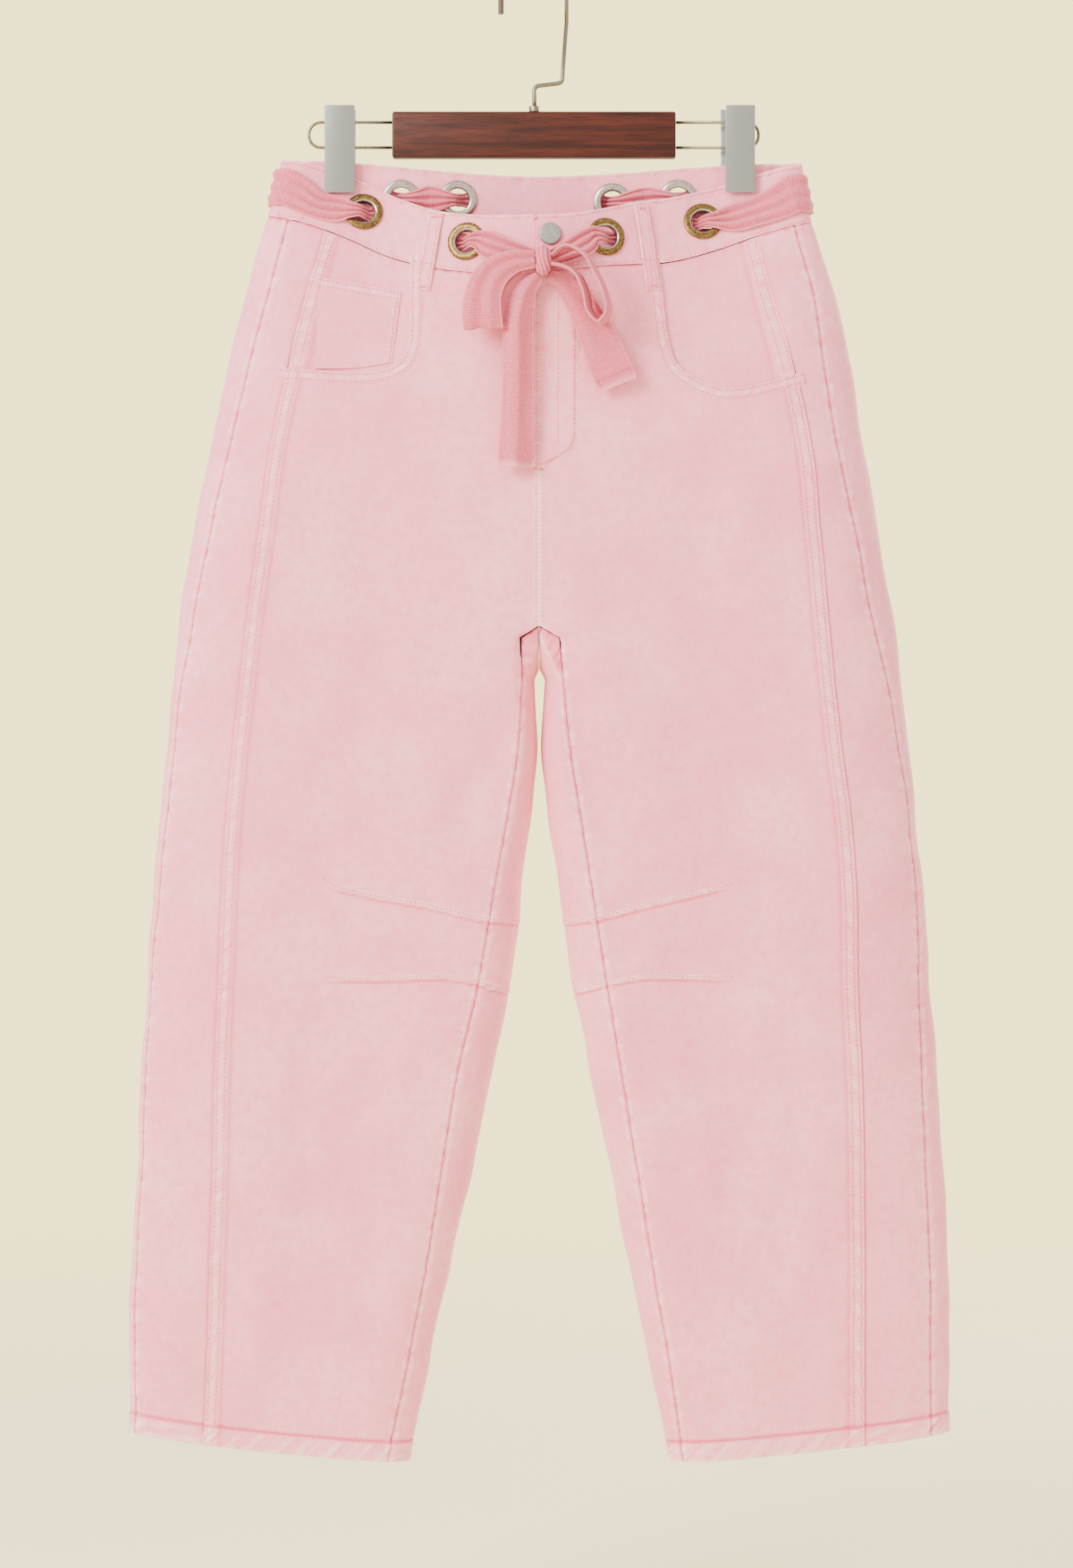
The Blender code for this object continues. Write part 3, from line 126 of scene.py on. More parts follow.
def add(tree, kind, inputs=(), **settings):
    """Adds a node with its settings. An input is a value, or another node's output to link."""
    node = tree.nodes.new("ShaderNode" + kind)
    for name, value in settings.items():
        setattr(node, name, value)
    for name, value in dict(inputs).items():
        if isinstance(value, bpy.types.NodeSocket):
            tree.links.new(value, node.inputs[name])
        else:
            node.inputs[name].default_value = value
    return node


def new_material(name):
    made = bpy.data.materials.new(name)
    made.use_nodes = True
    tree = made.node_tree
    shader = tree.nodes["Principled BSDF"]
    return made, tree, shader


def mixed(tree, factor, first, second, blend="MIX"):
    """A colour between two others. Each is a hex value or another node's output."""
    ends = [(*linear(c), 1) if isinstance(c, str) else c for c in (first, second)]
    node = add(tree, "Mix", {0: factor, 6: ends[0], 7: ends[1]}, data_type="RGBA", blend_type=blend)
    return node.outputs[2]


def ranged(tree, value, low, high, to_low=0.0, to_high=1.0):
    """A value stretched from one range to another, and held inside it."""
    node = add(tree, "MapRange", {0: value, 1: low, 2: high, 3: to_low, 4: to_high})
    return node.outputs[0]


# %% Floor, room and light
FLOOR_Z = -1.3
FLOOR_FADE = (1.2, 3.4)  # it fades out between these distances from its middle
deselect()
bpy.ops.mesh.primitive_circle_add(vertices=96, radius=9, fill_type="NGON", location=(0, 0, FLOOR_Z))
floor = bpy.context.object
floor.name = "floor"
paint, tree, shader = new_material("matt_floor_paint")
where = add(tree, "TexCoord").outputs["Object"]
away = add(tree, "VectorMath", {0: where}, operation="LENGTH").outputs["Value"]
shader.inputs["Base Color"].default_value = (*linear("#f6eec0"), 1)
shader.inputs["Roughness"].default_value = 0.95
clear = add(tree, "BsdfTransparent").outputs[0]
fade = add(tree, "MixShader", {0: ranged(tree, away, *FLOOR_FADE), 1: shader.outputs[0], 2: clear})
tree.links.new(fade.outputs[0], tree.nodes["Material Output"].inputs["Surface"])
floor.data.materials.append(paint)

world = bpy.data.worlds.new("pale_room")
world.use_nodes = True
room = world.node_tree
background = room.nodes["Background"]
background.inputs["Color"].default_value = (*linear("#fbf1e2"), 1)
background.inputs["Strength"].default_value = 2.1
seen = add(room, "Background", {"Color": (*linear("#fff0a4"), 1), "Strength": 3.3})
straight = add(room, "LightPath").outputs["Is Camera Ray"]
wall = add(room, "MixShader", {0: straight, 1: background.outputs[0], 2: seen.outputs[0]})
room.links.new(wall.outputs[0], room.nodes["World Output"].inputs["Surface"])
bpy.context.scene.world = world


def soft_light(name, place, aim, size, power, colour):
    data = bpy.data.lights.new(name, "AREA")
    data.size = size
    data.energy = power
    data.color = linear(colour)
    lamp = bpy.data.objects.new(name, data)
    lamp.location = place
    lamp.rotation_euler = (Vector(aim) - Vector(place)).to_track_quat("-Z", "Y").to_euler()
    bpy.context.scene.collection.objects.link(lamp)


soft_light("window", (-2.3, -2.4, 0.9), (0, 0, -0.5), 1.6, 230, "#fffaf2")
soft_light("back_window", (2.4, 2.6, 0.9), (0, 0, -0.5), 1.6, 150, "#fffaf2")

# %% [markdown]
# ## How the cloth hangs
#
# A garment is drafted from measures taken level by level. The tables give, at each drop below the
# hook, how far the folds and seams lie from the centre line and how deep the cloth stands. They
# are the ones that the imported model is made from, so every piece lies where its solid does.

# %% Measures, in millimetres
# A drop is measured down from the inside top of the hook.
GARMENT_X = 2.0  # the garment's centre line, beside the hook's
TO_GARMENT = np.array([GARMENT_X, 0, 0])
SIGN = {"right": -1, "left": 1}  # the wearer's right lies towards -X
BAND_CLOTH = 2.0
HEM_LIFT = 0.7  # the turned-up hem stands this proud of the leg
SEAM_GAP = 0.3
HALF_GAP = SEAM_GAP / 2  # each piece stops this far short of its seam line
BAND_TOP = 148.0  # at the side fold
BAND_SEAM = 193.0  # at the side fold
SAG_END = 450.0  # the sag of the waist has died out here
CROTCH = 502.5  # where the four panels' seams cross
CROTCH_CORNER = 512.0  # where the inseam turns down the leg
CROTCH_LOW = 534.0  # the lowest point of the rise seam
HEM_STITCH = 1098.0  # at the side fold
HEM_EDGE = 1114.0  # at the side fold
HEM_DIP = 22.0  # the hem hangs lower at the inner fold by this much
CLIP_IN = 139.0  # the clips press the band flat between these two distances
CLIP_OUT = 164.0
BACK_DIP = 11.0  # sag of the band's back edge at the centre
ROUND_WEIGHT = 14.0  # columns crowd where the cloth turns, by this many millimetres a radian
OVERLAP_EDGE = -2.8  # where the left end of the band laps over the right one

# Half widths from the centre line, a row for each level: the side fold, the two lengthwise seams
# that show on the front, the inseam and the inner fold.
SECTION_COLUMNS = ("drop", "outer", "rear_seam", "front_seam", "inseam", "inner")
RIGHT_SECTIONS = (
    (148, 196.0, 181.0, 154.0, 0.0, 0.0),
    (193, 206.5, 190.0, 162.0, 0.0, 0.0),
    (243, 221.0, 202.6, 175.0, 0.0, 0.0),
    (311, 238.0, 220.2, 190.4, 0.0, 0.0),
    (366, 249.6, 233.4, 201.9, 0.0, 0.0),
    (434, 263.2, 249.2, 211.3, 0.0, 0.0),
    (512, 275.0, 264.6, 221.7, 13.4, 6.5),
    (543, 278.1, 270.5, 225.2, 12.6, 4.0),
    (604, 284.2, 277.6, 231.5, 16.8, 1.4),
    (638, 287.0, 281.0, 234.9, 22.2, 5.2),
    (706, 293.8, 288.5, 239.2, 34.4, 13.6),
    (774, 297.8, 294.5, 242.0, 46.1, 21.8),
    (842, 302.6, 298.5, 245.0, 62.0, 36.0),
    (910, 305.3, 301.5, 246.6, 74.1, 51.0),
    (978, 309.7, 305.5, 249.0, 86.3, 69.0),
    (1046, 311.4, 307.0, 251.3, 100.6, 85.0),
    (1114, 311.4, 306.5, 254.2, 114.9, 98.6),
)
LEFT_SECTIONS = (
    (148, 200.0, 186.0, 158.0, 0.0, 0.0),
    (193, 207.4, 193.5, 165.0, 0.0, 0.0),
    (243, 223.7, 206.0, 175.7, 0.0, 0.0),
    (311, 238.0, 216.2, 193.8, 0.0, 0.0),
    (366, 246.8, 225.0, 205.0, 0.0, 0.0),
    (434, 258.4, 239.8, 212.0, 0.0, 0.0),
    (512, 271.5, 255.0, 219.0, 15.0, 7.0),
    (543, 275.4, 263.4, 222.1, 18.0, 5.0),
    (604, 282.2, 273.6, 228.8, 24.6, 1.2),
    (638, 285.6, 279.0, 233.6, 30.0, 5.8),
    (706, 292.4, 285.5, 238.9, 40.7, 15.3),
    (774, 297.2, 287.8, 239.9, 51.2, 25.5),
    (842, 302.6, 289.8, 243.3, 62.6, 39.4),
    (910, 307.4, 292.5, 245.0, 74.7, 54.7),
    (978, 310.8, 295.9, 245.7, 86.8, 69.7),
    (1046, 312.1, 296.6, 246.0, 99.5, 85.0),
    (1114, 311.4, 297.0, 246.2, 109.3, 100.0),
)
# Depths of the outer face in front of and behind the fold line, and the lengths over which the
# cloth rounds off towards its folds. Centre, clip and side are places across the waist.
DEPTH_COLUMNS = (
    "drop", "front_centre", "front_clip", "front_side",
    "back_centre", "back_clip", "back_side", "outer_round", "inner_round",
)
DEPTHS = (
    (148, 33.0, 2.35, 6.5, 8.0, 2.35, 6.5, 16, 14),
    (156, 33.5, 2.5, 7.0, 8.5, 2.4, 7.0, 16, 14),
    (163, 34.0, 3.2, 7.5, 9.0, 2.5, 7.5, 16, 14),
    (171, 34.5, 6.2, 9.0, 9.5, 3.1, 9.0, 17, 14),
    (180, 35.0, 9.2, 10.5, 10.0, 5.8, 10.0, 18, 14),
    (193, 36.0, 13.0, 13.0, 11.0, 9.2, 11.5, 21, 14),
    (215, 36.0, 18.0, 17.0, 12.5, 12.5, 13.5, 27, 14),
    (243, 36.0, 22.5, 21.5, 14.5, 14.5, 16.0, 35, 14),
    (275, 35.0, 26.0, 26.0, 17.0, 17.0, 18.0, 46, 14),
    (311, 34.0, 30.0, 30.0, 19.0, 19.0, 20.0, 58, 14),
    (366, 33.0, 33.0, 33.0, 21.0, 21.0, 21.0, 66, 14),
    (434, 33.0, 33.0, 33.0, 23.0, 23.0, 23.0, 70, 14),
    (502, 33.0, 33.0, 33.0, 24.0, 24.0, 24.0, 72, 14),
    (543, 32.0, 32.0, 32.0, 24.0, 24.0, 24.0, 72, 16),
    (604, 31.0, 31.0, 31.0, 24.0, 24.0, 24.0, 72, 18),
    (706, 31.0, 31.0, 31.0, 23.0, 23.0, 23.0, 72, 26),
    (842, 27.0, 27.0, 27.0, 20.0, 20.0, 20.0, 66, 34),
    (978, 22.0, 22.0, 22.0, 17.0, 17.0, 17.0, 60, 38),
    (1114, 17.0, 17.0, 17.0, 14.0, 14.0, 14.0, 52, 40),
)
# The front of the waistband: drops of its top edge and its seam, across the garment.
WAIST_COLUMNS = ("x", "top_edge", "seam")
RIGHT_WAIST = (
    (0, 193.5, 238.0),
    (50, 192.4, 236.8),
    (79, 187.5, 232.5),
    (98, 181.0, 228.0),
    (120, 171.5, 220.5),
    (139, 162.5, 211.5),
    (163, 153.5, 202.0),
    (186, 149.0, 195.0),
    (207, 147.0, 191.0),
)
LEFT_WAIST = (
    (0, 193.5, 238.0),
    (25, 192.0, 234.5),
    (50, 187.5, 231.5),
    (71, 182.0, 230.0),
    (98, 177.5, 227.5),
    (135, 168.5, 217.5),
    (171, 157.0, 205.0),
    (207, 149.5, 195.5),
)

# %% Broad folds and pocket edges
# Broad folds of the hanging cloth: the middle of each, its half length and half width, its lean
# from the vertical towards the side in degrees, and how far it stands out or in.
# Columns: x, drop, half length, half width, lean, height.
FRONT_FOLDS = {
    "right": (
        (62, 560, 120, 26, 18, 2.6),
        (120, 470, 130, 30, 10, -2.2),
        (205, 720, 150, 28, -3, 2.4),
        (150, 860, 130, 30, 5, -2.4),
        (215, 960, 120, 24, -4, 2.0),
        (110, 1010, 90, 24, 6, 1.8),
    ),
    "left": (
        (58, 555, 110, 24, 20, 2.8),
        (128, 500, 140, 28, 12, -2.0),
        (190, 690, 140, 30, -4, 2.2),
        (135, 830, 120, 28, 8, -2.6),
        (225, 900, 140, 24, -2, 2.2),
        (150, 1010, 90, 26, 4, 1.8),
    ),
}
BACK_FOLDS = {
    "right": (
        (70, 590, 110, 28, 16, 2.4),
        (150, 430, 120, 34, 8, -2.4),
        (210, 700, 140, 30, -3, 2.4),
        (140, 900, 130, 30, 5, -2.2),
    ),
    "left": (
        (74, 600, 120, 28, 14, 2.4),
        (140, 440, 120, 32, 9, -2.4),
        (200, 740, 140, 28, -4, 2.2),
        (150, 880, 120, 30, 4, -2.2),
    ),
}
# Edges of the scooped pocket openings, from the waist seam round to the front seam.
# Columns: x, drop.
SCOOPS = {
    "right": ((97, 222), (97, 262), (97.5, 284), (101, 298), (110, 307), (128, 311.5), (152, 311.5),
              (182, 309.5), (196, 309)),
    "left": ((90, 222), (94, 262), (97, 285), (103, 304), (117, 316), (137, 323.5), (160, 322),
             (184, 316), (198, 312)),
}

# %% Eyelets, loops, belt and bow
EYELET_RADIUS = 14.5
EYELET_HOLE = 9.6
EYELET_FLAT = 15.5  # the band stays flat this far from an eyelet's centre
EYELET_FADE = 10.0
# Columns: face, x, drop.
EYELETS = {
    "front_right_inner": ("front", -54.8, 212.9),
    "front_right_outer": ("front", -133.2, 188.0),
    "front_left_inner": ("front", 50.2, 209.6),
    "front_left_outer": ("front", 124.0, 195.5),
    "back_right_inner": ("back", -62.0, 177.0),
    "back_right_outer": ("back", -105.0, 176.5),
    "back_left_inner": ("back", 56.0, 179.0),
    "back_left_outer": ("back", 106.0, 176.5),
}
# Belt loops: the face, x and drop of the top and of the bottom end, and how far they stand off.
BELT_LOOPS = {
    "front_right": ("front", (-77.5, 190.5), (-87.5, 250.0), 1.2),
    "front_left": ("front", (76.4, 183.5), (86.2, 250.0), 1.2),
    "back_right": ("back", (-85.0, 156.5), (-85.0, 213.0), 1.2),
    "back_centre": ("back", (0.0, 161.0), (0.0, 219.0), 5.2),
    "back_left": ("back", (82.5, 156.5), (82.5, 213.0), 1.2),
}
# The belt from the knot to the centre back: on a face, at x and drop, its middle stands off the
# band's outer face, and its width. An eyelet row says whether the belt goes in there. The turn
# row is at the side fold and has no x. Columns: face, x, drop, stand-off, width.
BELT_ROUTES = {
    "right": (
        ("front", 1.1, 229.0, 5.0, 12.0),
        ("front", 24.0, 222.0, 5.0, 19.0),
        ("front", 38.0, 216.5, 5.0, 20.0),
        ("eyelet", "front_right_inner", True),
        ("front", 80.0, 206.0, -4.2, 24.0),
        ("front", 103.0, 198.0, -4.2, 23.0),
        ("front", 116.0, 194.0, -4.5, 13.0),
        ("eyelet", "front_right_outer", False),
        ("front", 151.0, 187.0, 2.4, 20.0),
        ("front", 167.0, 184.0, 1.9, 20.5),
        ("front", 182.0, 174.5, 1.9, 27.0),
        ("turn", 169.0, 2.7, 28.0),
        ("back", 184.0, 174.0, 2.1, 27.0),
        ("back", 166.0, 185.0, 2.4, 20.0),
        ("back", 139.0, 185.5, 2.6, 16.0),
        ("eyelet", "back_right_outer", True),
        ("back", 85.0, 177.0, -4.2, 20.0),
        ("eyelet", "back_right_inner", False),
        ("back", 38.0, 178.0, 2.6, 24.0),
        ("back", 18.0, 180.0, 1.8, 28.0),
        ("back", 0.0, 181.0, 1.8, 29.0),
    ),
    "left": (
        ("front", 7.1, 228.5, 5.0, 12.0),
        ("front", 24.0, 221.0, 5.0, 17.0),
        ("front", 34.0, 215.5, 5.0, 19.0),
        ("eyelet", "front_left_inner", True),
        ("front", 76.0, 206.0, -4.2, 24.0),
        ("front", 98.0, 200.0, -4.2, 24.0),
        ("eyelet", "front_left_outer", False),
        ("front", 146.0, 194.0, 2.4, 21.0),
        ("front", 165.0, 188.5, 1.9, 24.0),
        ("front", 184.0, 180.5, 1.9, 27.0),
        ("turn", 174.0, 2.7, 29.0),
        ("back", 186.0, 176.0, 2.1, 27.0),
        ("back", 169.0, 185.5, 2.4, 20.0),
        ("back", 139.0, 185.5, 2.6, 16.0),
        ("eyelet", "back_left_outer", True),
        ("back", 82.0, 178.0, -4.2, 20.0),
        ("eyelet", "back_left_inner", False),
        ("back", 36.0, 180.0, 2.6, 24.0),
        ("back", 18.0, 181.0, 1.8, 28.0),
        ("back", 0.0, 181.0, 1.8, 29.0),
    ),
}
# The bow. Each row is a place on the tape, its width, the direction across it and the height of
# its lengthwise crease. Columns: x, y, drop, width, across in x, y and drop, crease.
KNOT_CENTRE = Vector((3.0, -48.5, -230.5))
KNOT_RADII = Vector((6.8, 8.6, 12.5))
BOW = {
    "bow_loop_right": (
        (-3.7, -52.5, 230.0, 12, 0.0, 0.0, 1.0, 0),
        (-19.0, -54.5, 232.0, 17, -0.2, 0.0, 1.0, 0),
        (-34.0, -57.0, 241.0, 24, 0.6, 0.0, 0.8, 0),
        (-41.5, -58.5, 256.0, 27, 1.0, 0.0, 0.2, 0),
        (-42.5, -58.5, 271.0, 29, 1.0, 0.0, 0.0, 0),
        (-41.5, -54.0, 281.5, 29, 1.0, 0.0, 0.0, 0),
        (-41.0, -48.5, 274.0, 28, 1.0, 0.0, 0.0, 0),
        (-40.0, -46.8, 258.0, 25, 1.0, 0.0, 0.2, 0),
        (-27.0, -46.8, 241.5, 15, 0.7, 0.0, 0.7, 0),
        (-14.0, -46.8, 235.0, 11, 0.2, 0.0, 1.0, 0),
        (-5.2, -46.8, 232.0, 11, 0.0, 0.0, 1.0, 0),
    ),
    "bow_loop_left": (
        (9.9, -51.5, 226.5, 10, 0.1, 1.0, 0.0, 0),
        (21.0, -54.5, 220.5, 17, 0.2, 1.0, 0.0, 0),
        (33.0, -57.0, 226.0, 22, 0.2, 1.0, 0.0, 0),
        (43.0, -58.5, 241.0, 25, 0.2, 1.0, 0.0, 0),
        (50.5, -58.5, 259.0, 25, 0.2, 1.0, 0.0, 0),
        (51.0, -58.5, 271.0, 25, 0.2, 1.0, 0.0, 0),
        (45.0, -58.5, 277.0, 25, 0.2, 1.0, 0.0, 0),
        (38.5, -58.5, 270.0, 25, 0.2, 1.0, 0.0, 0),
        (35.0, -58.0, 255.0, 24, 0.2, 1.0, 0.0, 0),
        (29.0, -56.0, 242.0, 20, 0.2, 1.0, 0.0, 0),
        (19.0, -53.5, 235.5, 14, 0.1, 1.0, 0.0, 0),
        (9.9, -51.5, 233.0, 9, 0.1, 1.0, 0.0, 0),
    ),
    "bow_tail_right": (
        (-0.5, -49.7, 242.2, 8, 1.0, 0.0, 0.0, 0.3),
        (-9.0, -49.7, 252.0, 15, 1.0, 0.0, 0.4, 3),
        (-14.0, -48.5, 266.0, 21, 1.0, 0.0, 0.1, 6),
        (-15.5, -47.5, 300.0, 23, 1.0, 0.1, 0.0, 7),
        (-16.0, -45.5, 340.0, 24, 1.0, 0.1, 0.0, 6),
        (-17.5, -44.0, 384.0, 27, 1.0, 0.1, 0.0, 5),
    ),
    "bow_tail_left": (
        (7.2, -46.0, 241.6, 9, 0.8, 0.0, -0.5, 0),
        (17.0, -43.2, 246.0, 13, 0.8, 0.0, -0.6, 0),
        (28.0, -42.6, 258.0, 19, 0.9, 0.0, -0.6, 1),
        (41.0, -42.4, 281.0, 26, 0.9, 0.0, -0.6, 1),
        (52.5, -42.4, 307.0, 31, 0.9, 0.0, -0.45, 1),
        (59.0, -43.0, 323.0, 34, 0.92, 0.0, -0.38, 1),
    ),
}

# %% [markdown]
# The tables are read with a smooth curve through their rows. A point of the cloth is named by its
# side, its face, its distance from the centre line and its level, and these functions give its
# depth and its real height.

# %% Reading the tables
def smoothstep(t):
    t = np.clip(t, 0.0, 1.0)
    return t * t * (3 - 2 * t)


def curve_through(knots, values, at):
    """Cubic through a table's rows, with the slopes of its neighbours."""
    knots = np.asarray(knots, float)
    values = np.asarray(values, float)
    slopes = np.gradient(values, knots)
    at = np.clip(np.asarray(at, float), knots[0], knots[-1])
    i = np.clip(np.searchsorted(knots, at) - 1, 0, len(knots) - 2)
    span = knots[i + 1] - knots[i]
    t = (at - knots[i]) / span
    rise = t * t * (3 - 2 * t)
    leaving = t * (1 - t) ** 2 * span * slopes[i]
    arriving = t * t * (t - 1) * span * slopes[i + 1]
    return values[i] * (1 - rise) + values[i + 1] * rise + leaving + arriving


def read(rows, columns, name, at):
    """The named column of a table, at a value of its first column."""
    place = columns.index(name)
    return curve_through([row[0] for row in rows], [row[place] for row in rows], at)


def section_value(side, name, drop):
    return read(RIGHT_SECTIONS if side == "right" else LEFT_SECTIONS, SECTION_COLUMNS, name, drop)


def depth_value(name, drop):
    return read(DEPTHS, DEPTH_COLUMNS, name, drop)


# %% The outer face of the cloth
def quarter_round(t):
    """Rises from 0 to 1 as a quarter of an ellipse, then stays at 1."""
    t = np.clip(t, 0.0, 1.0)
    return np.sqrt(1 - (1 - t) ** 2)


def fold_height(folds, x, drop):
    total = 0.0
    for middle_x, middle_drop, half_length, half_width, lean, height in folds:
        slope = np.tan(np.radians(lean))
        along = (drop - middle_drop) / half_length
        across = (x - middle_x - slope * (drop - middle_drop)) / half_width
        total = total + height * np.exp(-along * along - across * across)
    return total


def free_depth(side, face, x, drop):
    """The depth of the outer face where no eyelet stiffens the cloth."""
    centre = depth_value(face + "_centre", drop)
    clip = depth_value(face + "_clip", drop)
    lobe = depth_value(face + "_side", drop)
    outer = section_value(side, "outer", drop)
    middle_share = np.cos(np.pi / 2 * np.clip(x / CLIP_IN, 0, 1)) ** 2
    side_share = smoothstep((x - CLIP_OUT) / 22)
    depth = clip + (centre - clip) * middle_share + (lobe - clip) * side_share
    folds = FRONT_FOLDS if face == "front" else BACK_FOLDS
    depth = depth + fold_height(folds[side], x, drop)
    depth = depth * quarter_round((outer - x) / depth_value("outer_round", drop))
    below = drop > CROTCH + 1
    inner = section_value(side, "inner", drop)
    rounding = quarter_round((x - inner) / depth_value("inner_round", drop))
    return depth * np.where(below, rounding, 1.0)


@functools.cache
def eyelet_plane(name):
    """The flat of the band round an eyelet: its place, depth and slopes across and down."""
    face, signed_x, real_drop = EYELETS[name]
    side = "right" if signed_x < 0 else "left"
    middle = abs(signed_x)
    level = level_of(side, face, middle, real_drop)
    reach = EYELET_RADIUS * 0.8
    up, down = (free_depth(side, face, middle, level + step) for step in (-reach, reach))
    inward, outward = (free_depth(side, face, middle + step, level) for step in (-reach, reach))
    depth = (up + down + inward + outward) / 4
    return middle, level, depth, (outward - inward) / (2 * reach), (down - up) / (2 * reach)


def outer_depth(side, face, x, drop):
    """How far the outer face stands from the fold line, at a distance x from the centre."""
    depth = free_depth(side, face, x, drop)
    for name in EYELETS:
        if name.startswith(f"{face}_{side}"):
            middle, level, middle_depth, across, down = eyelet_plane(name)
            plane = middle_depth + (x - middle) * across + (drop - level) * down
            away = np.hypot(x - middle, 1.08 * (drop - level))
            depth = depth + (plane - depth) * (1 - smoothstep((away - EYELET_FLAT) / EYELET_FADE))
    return depth


def waist_drops(side, face, x):
    """Drops of the band's top edge and of its seam, above a point of the waist."""
    table = RIGHT_WAIST if side == "right" else LEFT_WAIST
    if face == "front":
        return read(table, WAIST_COLUMNS, "top_edge", x), read(table, WAIST_COLUMNS, "seam", x)
    _, side_top, side_seam = table[-1]
    share = np.cos(np.pi / 2 * np.clip(x / table[-1][0], 0, 1)) ** 2
    top = side_top + (BAND_TOP + BACK_DIP - side_top) * share
    return top, side_seam + (BAND_SEAM + BACK_DIP - side_seam) * share


def height_at(side, face, x, drop):
    """The real height of a point whose level is named by its drop at the side fold."""
    top, seam = waist_drops(side, face, x)
    in_band = top + (seam - top) * (drop - BAND_TOP) / (BAND_SEAM - BAND_TOP)
    fade = np.clip((SAG_END - drop) / (SAG_END - BAND_SEAM), 0, 1) ** 1.5
    below = drop + (seam - BAND_SEAM) * fade
    outer = section_value(side, "outer", HEM_EDGE)
    inner = section_value(side, "inner", HEM_EDGE)
    inward = np.clip((outer - x) / (outer - inner), 0, 1)
    dip = HEM_DIP * (1.45 * inward - 0.45 * inward**2) * smoothstep((drop - 800) / 280)
    return -np.where(drop < BAND_SEAM, in_band, below + dip)


def level_of(side, face, x, drop):
    """The level that passes through a real drop, found by halving."""
    low = np.full(np.shape(drop), BAND_TOP - 6.0)
    high = np.full(np.shape(drop), HEM_EDGE)
    for _ in range(22):
        middle = (low + high) / 2
        above = -height_at(side, face, x, middle) < drop
        low = np.where(above, middle, low)
        high = np.where(above, high, middle)
    return (low + high) / 2


def points_on(face, x, drop):
    """Points of the outer face at signed distances x and real drops."""
    x, drop = np.broadcast_arrays(np.asarray(x, float), np.asarray(drop, float))
    depth = np.zeros(x.shape)
    for side, here in (("right", x < 0), ("left", x >= 0)):
        level = level_of(side, face, np.abs(x), drop)
        depth = np.where(here, outer_depth(side, face, np.abs(x), level), depth)
    return np.stack([x, -depth if face == "front" else depth, -drop], axis=-1)


def normals_on(face, x, drop):
    """The ways out of the cloth at those points."""
    step = 1.5
    across = points_on(face, x + step, drop) - points_on(face, x - step, drop)
    down = points_on(face, x, drop + step) - points_on(face, x, drop - step)
    normals = np.cross(down, across)
    outward = -1.0 if face == "front" else 1.0
    normals *= np.sign(normals[..., 1:2]) * outward
    return normals / np.linalg.norm(normals, axis=-1, keepdims=True)


def face_points(side, face, x, drop):
    """Points of the outer face at one level, at distances x from the centre line."""
    x = np.asarray(x, float)
    depth = outer_depth(side, face, x, drop)
    height = height_at(side, face, x, drop)
    return np.stack([x, -depth if face == "front" else depth, height], axis=1)


# %% Sections and seams
def section_loop(side, drop):
    """The outline of one leg or half of the torso, from its front inner end round to its back."""
    outer = section_value(side, "outer", drop)
    flat_end = outer - depth_value("outer_round", drop)
    turn = np.linspace(0, np.pi / 2, 30)
    is_leg = drop > CROTCH + 1
    start = section_value(side, "inseam", drop) if is_leg else 0.0
    across = np.concatenate([
        np.linspace(start, flat_end, 90)[:-1], flat_end + (outer - flat_end) * np.sin(turn),
    ])
    front = face_points(side, "front", across, drop)
    if not is_leg:
        return np.concatenate([front, face_points(side, "back", across[-2::-1], drop)]), len(front)
    inner = section_value(side, "inner", drop)
    inner_round = depth_value("inner_round", drop)
    behind = across[-2::-1]
    inner_turn = inner + inner_round * (1 - np.sin(turn))
    behind = np.concatenate([behind[behind > inner + inner_round], inner_turn])
    ahead = inner_turn[::-1][1:]
    ahead = np.append(ahead[ahead < start - 0.01], start)
    return np.concatenate([
        front, face_points(side, "back", behind, drop), face_points(side, "front", ahead, drop),
    ]), len(front)


def running_length(points):
    steps = np.linalg.norm(np.diff(points, axis=0), axis=1)
    return np.concatenate([[0.0], np.cumsum(steps)])


def running_weight(points):
    """Length along the outline, plus a share for each turn of it."""
    steps = np.diff(points[:, :2], axis=0)
    heading = np.unwrap(np.arctan2(steps[:, 1], steps[:, 0]))
    turning = np.abs(np.diff(heading, prepend=heading[0]))
    lengths = np.linalg.norm(steps, axis=1)
    return np.concatenate([[0.0], np.cumsum(lengths + ROUND_WEIGHT * turning)])


def rise_seam(back_end, t):
    """The seam under the crotch, from the centre back round to the centre front, at shares t."""
    front_y = -float(depth_value("front_centre", CROTCH)) + 1.2
    y = back_end[1] + (front_y - back_end[1]) * t
    z = back_end[2] - (CROTCH_LOW - CROTCH) * np.sin(np.pi * t) ** 0.8
    z[-1] = -CROTCH - 1.2
    x = np.full_like(t, HALF_GAP)
    return np.stack([x, y, z], axis=1)


def vertex_normals(grid, used):
    """Mean normal of the used cells round each point of a grid, outward on the +X side."""
    normals = np.zeros_like(grid)
    across = grid[:-1, 1:] - grid[:-1, :-1] + grid[1:, 1:] - grid[1:, :-1]
    down = grid[1:, :-1] - grid[:-1, :-1] + grid[1:, 1:] - grid[:-1, 1:]
    cells = np.cross(down, across) * used[:, :, None]
    for i in (0, 1):
        for j in (0, 1):
            rows = slice(i, i + used.shape[0])
            columns = slice(j, j + used.shape[1])
            normals[rows, columns] += cells
    size = np.linalg.norm(normals, axis=2, keepdims=True)
    return normals / np.where(size > 0, size, 1)


BAND_COLUMNS = 62  # of cells, from the centre line to where the fold begins
TURN_COLUMNS = 10  # of cells, round the fold


def seam_drop(x):
    side = "right" if x < 0 else "left"
    return float(waist_drops(side, "front", abs(x))[1])


